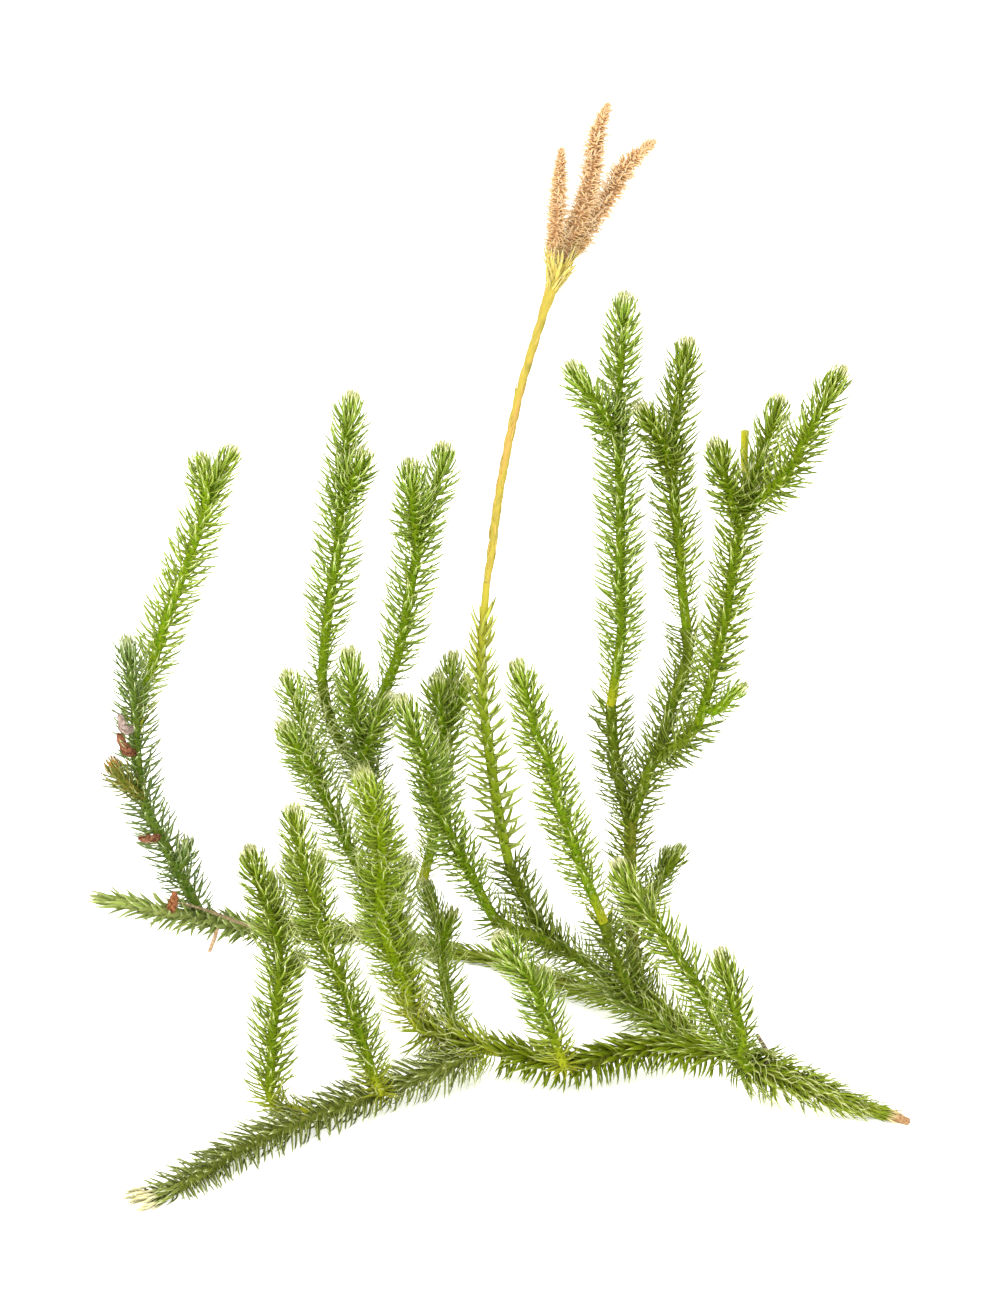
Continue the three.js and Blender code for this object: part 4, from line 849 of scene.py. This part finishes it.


# The greens. A leaf's colours are those of its foot, blade, edges and point, the edges' partly painted light
# through the thin margins, and a stem's those of its streaks and of its yellow stretch.
GREENS = {
    # Yellow green of the big shoot, the newest growth
    "young": dict(slot="young_green", leaf=("#A4B61E", "#82A20C", "#C2CE54", "#DAE09C"),
                  stem=("#86A40E", "#A6BC20", "#B4BE2A")),
    # Clear light green: the full green of the other shoots painted lighter, as painted light on these shoots
    "fresh": dict(slot="young_green", leaf=("#98AC1C", "#688C06", "#CCD46A", "#E6E8B2"),
                  stem=("#6A9010", "#94AC1E")),
    # Deeper green of the darker shoots, low down and in the crown: the full green painted darker, as painted
    # shade on these shoots
    "low": dict(slot="mature_green", leaf=("#869A14", "#527404", "#B8C252", "#DCE09E"),
                stem=("#5A7806", "#809218")),
    # Full green of the other shoots
    "mature": dict(slot="mature_green", leaf=("#8EA416", "#5C8404", "#CAD46C", "#E6E8B4"),
                   stem=("#5E8008", "#82961A")),
    # Olive green of the runners, yellower where the front one turns up into the big shoot
    "front_runner": dict(slot="mature_green", leaf=("#7C8210", "#586A04", "#88941E", "#B8BE6A"),
                         stem=("#5E6C18", "#7C8030")),
    "front_runner_end": dict(slot="mature_green", leaf=("#A0A424", "#80900C", "#B4BC46", "#D8DC98"),
                             stem=("#7A8E18", "#A0A030")),
    "left_runner": dict(slot="runner_green", leaf=("#7C8424", "#5C6C0E", "#B2B874", "#E0E0BC"),
                        changes=dict(top="#DAD2A4"), stem=("#5C6C1C", "#848A3C")),
    "back_runner_end": dict(slot="runner_green", leaf=("#8C9A4C", "#7E9038", "#AEBA78", "#CCD29C"),
                            changes=dict(top="#B8BE80"), stem=("#7E8E40", "#A2A864")),
    "runner": dict(slot="runner_green", leaf=("#84881C", "#5E7408", "#A2AC40", "#D2D292"),
                   changes=dict(top="#C8B480", roughness=DULL_ROUGHNESS), stem=("#5E6E14", "#868630")),
    # Dark green of last year's stems, bluer on the far left and browned at one side branch there
    "old": dict(slot="dark_green", leaf=("#809020", "#547004", "#A6B050", "#D6DAA2"),
                changes=dict(top="#C4CA8E"), stem=("#566E0E", "#7E8A26")),
    "far_left_old": dict(slot="dark_green", leaf=("#7E903A", "#50701C", "#A8B478", "#DCE2BA"),
                         changes=dict(top="#C8CE9A"), stem=("#50701A", "#7A8C38")),
    "scorched": dict(slot="dark_green", leaf=("#8C9036", "#5C6C1C", "#B0A860", "#D2A468"),
                     changes=dict(top="#B8743A"), stem=("#5E6A1C", "#8A8436")),
    # Yellow green of the leafy stalk and of one shoot still in bud
    "stalk": dict(slot="young_green", leaf=("#AEB434", "#8AA222", "#D2D67C", "#EAEABA"),
                  changes=dict(yellow="#B8B446"), stem=("#7A9618", "#9CAA2C", "#B0A03A")),
    "bud": dict(slot="stalk_yellow", leaf=("#A6A42A", "#A8A82C", "#BDB846", "#D6CC80"),
                stem=("#A0A020", "#B8B430")),
}
LEAF_MATERIALS, STEM_MATERIALS = {}, {}
for name, green in GREENS.items():
    LEAF_MATERIALS[name] = leaf_material(f"{name}_leaf", *green["leaf"], **green.get("changes", {}))
    STEM_MATERIALS[name] = stem_material(f"{name}_stem", *green["stem"])

# Pale hairs as fine as silk
HAIR_MATERIAL = plain_material("leaf_hair", "#C6CC7C", "#DEE2A4", HAIR_PATCH, DULL_ROUGHNESS)

# Waxy yellow skin of the bare stalk, and the scales and bracts that dry on it
STALK_MATERIAL = stalk_material("stalk_skin", "#AF9D40", "#B8964E", "#92883A")
STALK_SCALE_MATERIAL = leaf_material("stalk_scale", "#A89638", "#B49C4A", "#C0A456", "#C8A868")
FLARE_MATERIAL = leaf_material("flare_bract", "#B89C3E", "#C4B056", "#D4C47C", "#E8E0B8", DULL_ROUGHNESS)

# Papery tan scales of the cones, over a darker core
BRACT_MATERIAL = bract_material("cone_bract", "#DCB27A", "#ECCA98", "#F0D4A8", "#F4E0C0", "#C6A468")
CONE_CORE_MATERIAL = plain_material("cone_core", "#C89C6E", "#DCB286", CORE_PATCH, DRY_ROUGHNESS)

# The leaves of each kind of stem, and the scales of the stalk's flare, the cones and the buds: a seed, the
# curls in degrees, the hairs as shares of the blade, and how far a hair turns at each step, in radians
CURLS = (18, 26, 34, 42, 30, 54, 62)
LEAF_SETS = {
    "fine": leaf_set("fine_leaf", 11, CURLS, [0.25, 0.3, 0.22, 0.34, 0.28, 0.2, 0.24], 0.3),
    "curly": leaf_set("curly_leaf", 51, CURLS, [0.4, 0.9, 0.8, 1.0, 0.7, 0.4, 0.3], 0.6,
                      CURLY_HALF_WIDTHS),
    "stout": leaf_set("stout_leaf", 151, (12, 22, 30, 18, 26, 20, 30),
                      [0.2, 0.24, 0.16, 0.26, 0.2, 0.2, 0.24], 0.2, STOUT_HALF_WIDTHS),
    "broad": leaf_set("broad_leaf", 71, (10, 20, 30, 16, 24), [0.2, 0.24, 0.16, 0.26, 0.2], 0.2,
                      BROAD_HALF_WIDTHS),
    "tangled": leaf_set("tangled_leaf", 131, (30, 60, 45, 75, 20, 50, 70),
                        [0.4, 0.8, 0.6, 0.9, 0.5, 0.5, 0.6], 0.6),
    "straight": leaf_set("straight_leaf", 111, (6, 14, 22, 18, 10, 66, 78),
                         [0.2, 0.26, 0.16, 0.3, 0.22, 0.2, 0.24], 0.3),
    "hooked": leaf_set("hooked_leaf", 91, (-6, -20, 10, -28, -14, 10, 20),
                       [0.14, 0.2, 0.1, 0.24, 0.16, 0.1, 0.1], 0.2, BROAD_HALF_WIDTHS),
    "bract": leaf_set("bract", 31, (-10, -30, 20, -50, 0), [0.6, 1.0, 0.5, 0.9, 1.2], 0.4,
                      BRACT_HALF_WIDTHS),
    "bud_scale": leaf_set("bud_scale", 81, (30, 40, 20, 35, 50), [0.04] * 5, 0.1, SCALE_HALF_WIDTHS),
    "flare_bract": leaf_set("flare_bract", 41, (14, 24, -4, 6, 30), [0.3, 0.4, 0.2, 0.5, 0.4], 0.25,
                            FLARE_HALF_WIDTHS),
}
grow = leafy_stem_tree()

foliage = {}
for number, (name, stem) in enumerate(STEMS.items()):
    paths = [smooth_path(points) for points in stem["stems"]]
    growing = stem.get("tip", False) or stem["habit"] == "sparse"
    short_base = stem.get("short_base", YOUNG_SHORT_BASE if stem["habit"] == "young" else SHORT_BASE)
    piece = wire_object(f"{name}_foliage", paths, lambda share: stem_radius(stem, share), growing,
                        stem.get("yellow_base", 0), stem.get("yellow_top", 0), short_base)
    dress(piece, grow, stem_inputs(
        stem["habit"], number * SEED_STEP, LEAF_SETS[stem.get("leaves", "fine")],
        LEAF_MATERIALS[stem["colour"]], HAIR_MATERIAL, STEM_MATERIALS[stem["colour"]],
        **stem.get("changes", {})))
    foliage.setdefault(stem.get("part_of", name), []).append(piece)
for name, pieces in foliage.items():
    declare(merged(pieces), [name])

# The bare stalk with a few pressed scales, and the bracts that cover its flared top
stalk_path = smooth_path(STALK["path"])
stalk = wire_object("stalk_skin", [stalk_path], lambda share: listed_radius(STALK["radii"], share), False)
dress(stalk, grow, stem_inputs("pressed", STALK_SEED, LEAF_SETS["broad"], STALK_SCALE_MATERIAL,
                               STALK_SCALE_MATERIAL, STALK_MATERIAL))
flare_share = 1 - FLARE_HEIGHT * MM / sum((b - a).length for a, b in zip(stalk_path, stalk_path[1:]))
flare_path = stalk_path[round(flare_share * (len(stalk_path) - 1)):]
flare = wire_object("flare_bracts", [flare_path],
                    lambda share: listed_radius(STALK["radii"], mix(flare_share, 1, share)), False)
dress(flare, grow, stem_inputs("flare", FLARE_SEED, LEAF_SETS["flare_bract"], FLARE_MATERIAL, HAIR_MATERIAL,
                               STALK_MATERIAL))
declare(merged([stalk, flare]), ["stalk"])

for number, (name, cone) in enumerate(CONES.items()):
    piece = wire_object(f"{name}_bracts", [smooth_path(cone["path"])],
                        lambda share: cone_radius(cone, share), True)
    dress(piece, grow, stem_inputs(
        "cone", CONE_SEED + number * SEED_STEP, LEAF_SETS["bract"], BRACT_MATERIAL, BRACT_MATERIAL,
        CONE_CORE_MATERIAL, **cone.get("changes", {})))
    declare(piece, [name])

for name, thing in SMALL_THINGS.items():
    piece = wire_object(f"{name}_bark", [smooth_path(thing["path"])],
                        lambda share: listed_radius(thing["radii"], share), False)
    dry = plain_material(f"dry_{name}", *thing["colours"], DRY_PATCH, DRY_ROUGHNESS)
    dress(piece, grow, stem_inputs("scaly", SMALL_SEED, LEAF_SETS["bud_scale"], dry, dry, dry,
                                   bare_tip=0 if thing.get("scaly") else ALL_BARE))
    declare(piece, [] if thing.get("loose") else [name])

# The floor, soft light from all round and a weak sun overhead
floor_mesh = bpy.data.meshes.new("floor")
corners = [(x * FLOOR_HALF, y * FLOOR_HALF, 0) for x, y in ((-1, -1), (1, -1), (1, 1), (-1, 1))]
floor_mesh.from_pydata(corners, [], [(0, 1, 2, 3)])
floor = bpy.data.objects.new("floor", floor_mesh)
bpy.context.scene.collection.objects.link(floor)
white_floor = plain_material("white_floor", "#FAFAFA", "#FBFBFB", FLOOR_PATCH, FLOOR_ROUGHNESS)
floor_shader = white_floor.node_tree.nodes["Principled BSDF"]
floor_shader.inputs["Emission Color"].default_value = (1, 1, 1, 1)
floor_shader.inputs["Emission Strength"].default_value = FLOOR_GLOW
floor_mesh.materials.append(white_floor)

world = bpy.data.worlds.new("white studio")
bpy.context.scene.world = world
world.use_nodes = True
background = world.node_tree.nodes["Background"]
background.inputs["Color"].default_value = (1, 1, 1, 1)
background.inputs["Strength"].default_value = SKY_STRENGTH
sun_data = bpy.data.lights.new("soft sun", "SUN")
sun_data.energy = SUN_STRENGTH
sun_data.angle = math.radians(SUN_SPREAD)
sun = bpy.data.objects.new("soft sun", sun_data)
sun.rotation_euler = [math.radians(angle) for angle in SUN_TURN]
bpy.context.scene.collection.objects.link(sun)
bpy.context.scene.view_settings.view_transform = "Standard"

# The camera looks at the middle of the photograph's frame from 25 degrees above the floor
camera_data = bpy.data.cameras.new("camera")
camera_data.sensor_fit = "HORIZONTAL"
camera_data.sensor_width = SENSOR_MM
camera_data.lens = SENSOR_MM * CAMERA_DISTANCE / (PHOTO_WIDTH * PIXEL_MM * MM)
camera_data.clip_end = CAMERA_DISTANCE * 3
camera = bpy.data.objects.new("camera", camera_data)
aim = spot((PHOTO_WIDTH / 2 - PHOTO_ZERO[0]) * PIXEL_MM, (PHOTO_ZERO[1] - PHOTO_HEIGHT / 2) * PIXEL_MM,
           PHOTO_CENTRE_BACK)
looking = Vector((0, math.cos(VIEW_TILT), -math.sin(VIEW_TILT)))
camera.location = aim - looking * CAMERA_DISTANCE
camera.rotation_euler = looking.to_track_quat("-Z", "Y").to_euler()
bpy.context.scene.collection.objects.link(camera)
bpy.context.scene.camera = camera
